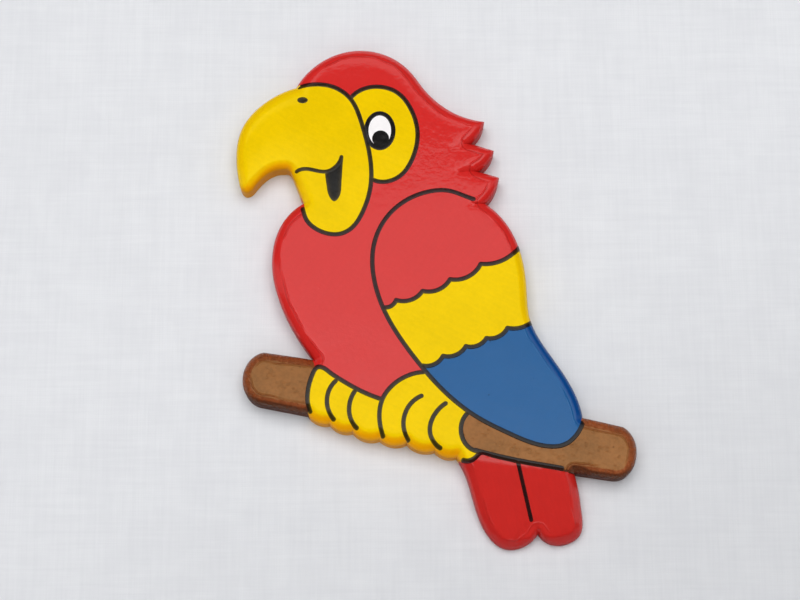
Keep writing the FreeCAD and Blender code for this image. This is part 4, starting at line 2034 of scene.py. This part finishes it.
@dataclass
class Magnet:
    """One magnet and the bed of glue that holds it.

    Attributes:
        end: Which of the two it is.
        chamfer: The broken edge of the disc.
        play: How far the glue keeps from the disc and from the wood.
        smear: How far the glue was wiped over the wood.
        wobble: How far the smear's edge wanders, as a share.
    """

    end: MagnetEnd
    chamfer: float = 0.22
    play: float = 0.01
    smear: float = 1.1
    wobble: float = 0.07

    def build(self, ferrite: bpy.types.Material, glue: bpy.types.Material) -> None:
        """Makes the disc and its glue and dresses them.

        Args:
            ferrite: What the disc is dressed in.
            glue: What the glue is dressed in.
        """
        end = self.end.value
        low, high = (np.array(corner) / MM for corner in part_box(f"{end}_magnet"))
        glue_low, glue_high = (np.array(corner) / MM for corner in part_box(f"{end}_magnet_glue"))
        centre = ((low[0] + high[0]) / 2, (low[2] + high[2]) / 2)
        radius, bed = (high[0] - low[0]) / 2, (glue_high[0] - glue_low[0]) / 2
        disc = lathe(f"{end}_ferrite_disc", self._disc_profile(radius, low[1], high[1]), centre)
        finish_piece(disc, ferrite, "ferrite", f"{end}_magnet")
        profile = self._glue_profile(radius, bed, low[1], glue_low[1])
        cup = lathe(f"{end}_glue_bed", profile, centre, wobble=self.wobble)
        finish_piece(cup, glue, "epoxy_glue", f"{end}_magnet_glue")

    def _disc_profile(self, radius: float, floor: float, top: float) -> list[tuple[float, float]]:
        """Draws half the section of the disc.

        Args:
            radius: The disc's radius.
            floor: The y of its inner face.
            top: The y of its outer face.

        Returns:
            Points (radius, y), from the outer face round to the inner one.
        """
        bevel = self.chamfer
        return [
            (0.0, top), (radius * 0.5, top), (radius - bevel, top), (radius, top - bevel),
            (radius, floor + bevel), (radius - bevel, floor), (0.0, floor),
        ]

    def _glue_profile(
        self, radius: float, bed: float, disc_floor: float, floor: float
    ) -> list[tuple[float, float]]:
        """Half the section of the glue.

        Args:
            radius: The disc's radius.
            bed: The pocket's radius.
            disc_floor: The y of the disc's inner face.
            floor: The y of the pocket's floor.

        Returns:
            Points (radius, y), under the disc, up its side, over the wood and back along the pocket.
        """
        play, smear = self.play, bed + self.smear
        hollow = [(0.0, disc_floor - play), (radius + play, disc_floor - play), (radius + play, -0.12)]
        meniscus = [(radius + 0.03, -0.03), (bed - 0.02, 0.012)]
        film = [(bed + self.smear * 0.6, 0.022), (smear, 0.003), (smear, 0.001)]
        outside = [(bed - 0.03, -0.03), (bed - play, floor + play), (0.0, floor + play)]
        return hollow + meniscus + film + outside


# ------------------------------------------------------------------------------ studio
@dataclass(frozen=True)
class Lamp:
    """A soft box that looks at the figure.

    Attributes:
        name: Its name.
        place: Where it stands.
        width: How wide it is.
        height: How tall it is.
        radiance: How bright it looks, where 1 is white.
        level: Whether it looks level at the figure's axis, and not at the figure's middle.
        mirrored: Whether it shows in shiny surfaces.
    """

    name: str
    place: tuple[float, float, float]
    width: float
    height: float
    radiance: float = 1.0
    level: bool = False
    mirrored: bool = True

    def hang(self) -> None:
        """Adds the lamp to the scene."""
        light = bpy.data.lights.new(self.name, "AREA")
        light.shape = "RECTANGLE"
        light.size = self.width
        light.size_y = self.height
        light.energy = self.radiance * math.pi * self.width * self.height
        lamp = bpy.data.objects.new(self.name, light)
        lamp.location = self.place
        target = Vector((0, 0, self.place[2] if self.level else 0))
        lamp.rotation_euler = (Vector(self.place) - target).to_track_quat("Z", "Y").to_euler()
        lamp.visible_camera = False
        lamp.visible_glossy = self.mirrored
        bpy.context.scene.collection.objects.link(lamp)


@dataclass
class Studio:
    """The cloth, the lamps and the camera.

    Attributes:
        aim: The point that the camera looks at.
        distance: How far off the camera stands.
        elevation: The camera's height angle, in degrees.
        roll: How far the camera is turned about its own axis, in degrees.
        lens: Its focal length in millimetres.
        cloth_gap: How far the cloth hangs behind the figure.
        cloth_reach: How far the cloth goes to either side.
        cloth_top: How high it hangs.
        cloth_foot: How far down the floor lies.
        floor_front: Where the floor ends.
        bend: Radius of the bend from the hanging cloth to the floor.
        lamps: The lamps.
        horizon: The room's colour at the height of the figure.
        ground: Its colour below.
        ceiling: Its colour above.
    """

    aim: tuple[float, float, float] = (-0.00668, -0.005, 0.00002)
    distance: float = 0.3490
    elevation: float = -11.7
    roll: float = -0.15
    lens: float = 85.0
    cloth_gap: float = 0.00012
    cloth_reach: float = 2.7
    cloth_top: float = 0.9
    cloth_foot: float = -0.32
    floor_front: float = -4.0
    bend: float = 0.12
    lamps: tuple[Lamp, ...] = (
        Lamp("front_box", (0.01, -0.61, 0.088), 0.46, 0.225, level=True),
        Lamp("upper_box", (0.0, -0.78, 0.407), 0.9, 0.13),
        Lamp("window", (-0.06, -1.12, 0.28), 1.4, 1.1, 2.38, mirrored=False),
        Lamp("rear_window", (-0.3, 0.95, 0.45), 1.1, 1.0, 2.3, mirrored=False),
    )
    horizon: tuple[float, float, float, float] = (0.60, 0.60, 0.62, 1)
    ground: tuple[float, float, float, float] = (0.1, 0.1, 0.1, 1)
    ceiling: tuple[float, float, float, float] = (0.08, 0.08, 0.085, 1)

    def build(self, groups: Groups) -> None:
        """Sets up everything round the figure.

        Args:
            groups: The shader groups that its materials take their effects from.
        """
        self._cloth(groups)
        self._world()
        for lamp in self.lamps:
            lamp.hang()
        self._camera()

    def _cloth(self, groups: Groups) -> None:
        """A sheet that hangs behind the figure and sweeps forward into a floor.

        Args:
            groups: The shader groups that its materials take their effects from.
        """
        turns = np.radians(np.linspace(0, 90, 13))
        forward = self.cloth_gap - self.bend * (1 - np.cos(turns))
        height = self.cloth_foot + self.bend * (1 - np.sin(turns))
        bent = list(zip(forward.tolist(), height.tolist()))
        cotton = Cotton().make(groups)
        wall = self._sheet("cotton_sheet", [(self.cloth_gap, self.cloth_top), *bent], cotton)
        floor = self._sheet("cotton_floor", [bent[-1], (self.floor_front, self.cloth_foot)], cotton)
        floor.visible_glossy = False

    def _sheet(self, name: str, path: list, material: bpy.types.Material) -> bpy.types.Object:
        """Makes a wide sheet.

        Args:
            name: Its name.
            path: The points (y, z) that it follows.
            material: What it is dressed in.

        Returns:
            The sheet.
        """
        points = np.array([(x, y, z) for y, z in path for x in (-self.cloth_reach, self.cloth_reach)])
        faces = [[2 * step, 2 * step + 2, 2 * step + 3, 2 * step + 1] for step in range(len(path) - 1)]
        sheet = new_piece(name, points, faces)
        sheet.data.materials.append(material)
        return sheet

    def _world(self) -> None:
        """A dim room, paler about the horizon than overhead."""
        world = bpy.data.worlds.new("room")
        bpy.context.scene.world = world
        world.use_nodes = True
        graph = Graph(world.node_tree)
        up = graph.add("SeparateXYZ", {0: graph.add("TexCoord").outputs["Generated"]}).outputs[2]
        pale = graph.product(graph.fall(up, 0.10, 0.22), graph.ramp(up, -0.10, -0.03))
        dim = graph.mix(graph.ramp(up, -0.2, 0.1), self.ground, self.ceiling)
        colour = graph.mix(pale, dim, self.horizon)
        graph.feed(world.node_tree.nodes["Background"], {0: colour})

    def _camera(self) -> None:
        """A long lens in front of the figure and a little below it."""
        data = bpy.data.cameras.new("camera")
        data.lens = self.lens
        data.sensor_width = 36.0
        data.clip_start = 0.01
        rise = math.radians(self.elevation)
        away = Vector((0, -math.cos(rise), math.sin(rise)))
        camera = bpy.data.objects.new("camera", data)
        camera.location = Vector(self.aim) + away * self.distance
        turned = Quaternion((0, 0, 1), math.radians(self.roll))
        camera.rotation_euler = (away.to_track_quat("Z", "Y") @ turned).to_euler()
        bpy.context.scene.collection.objects.link(camera)
        bpy.context.scene.camera = camera
        bpy.context.scene.view_settings.view_transform = "Standard"


def main() -> None:
    """Builds the figure and the studio."""
    logging.basicConfig(level=logging.INFO, format="%(name)s: %(message)s")
    groups = Groups()
    PaintedFace(Skin(CarvedFace())).build(groups)
    coarse_rows = (0.05, 0.15, 0.4, 0.8, 1.15, 1.45, 1.8, 2.6)
    Board(CarvedFace(spacing=0.6, rows=coarse_rows)).build(groups)
    ferrite = FERRITE.make(groups)
    glue = GLUE.make(groups)
    for end in MagnetEnd:
        Magnet(end).build(ferrite, glue)
    Studio().build(groups)


if __name__ == "__main__":
    main()
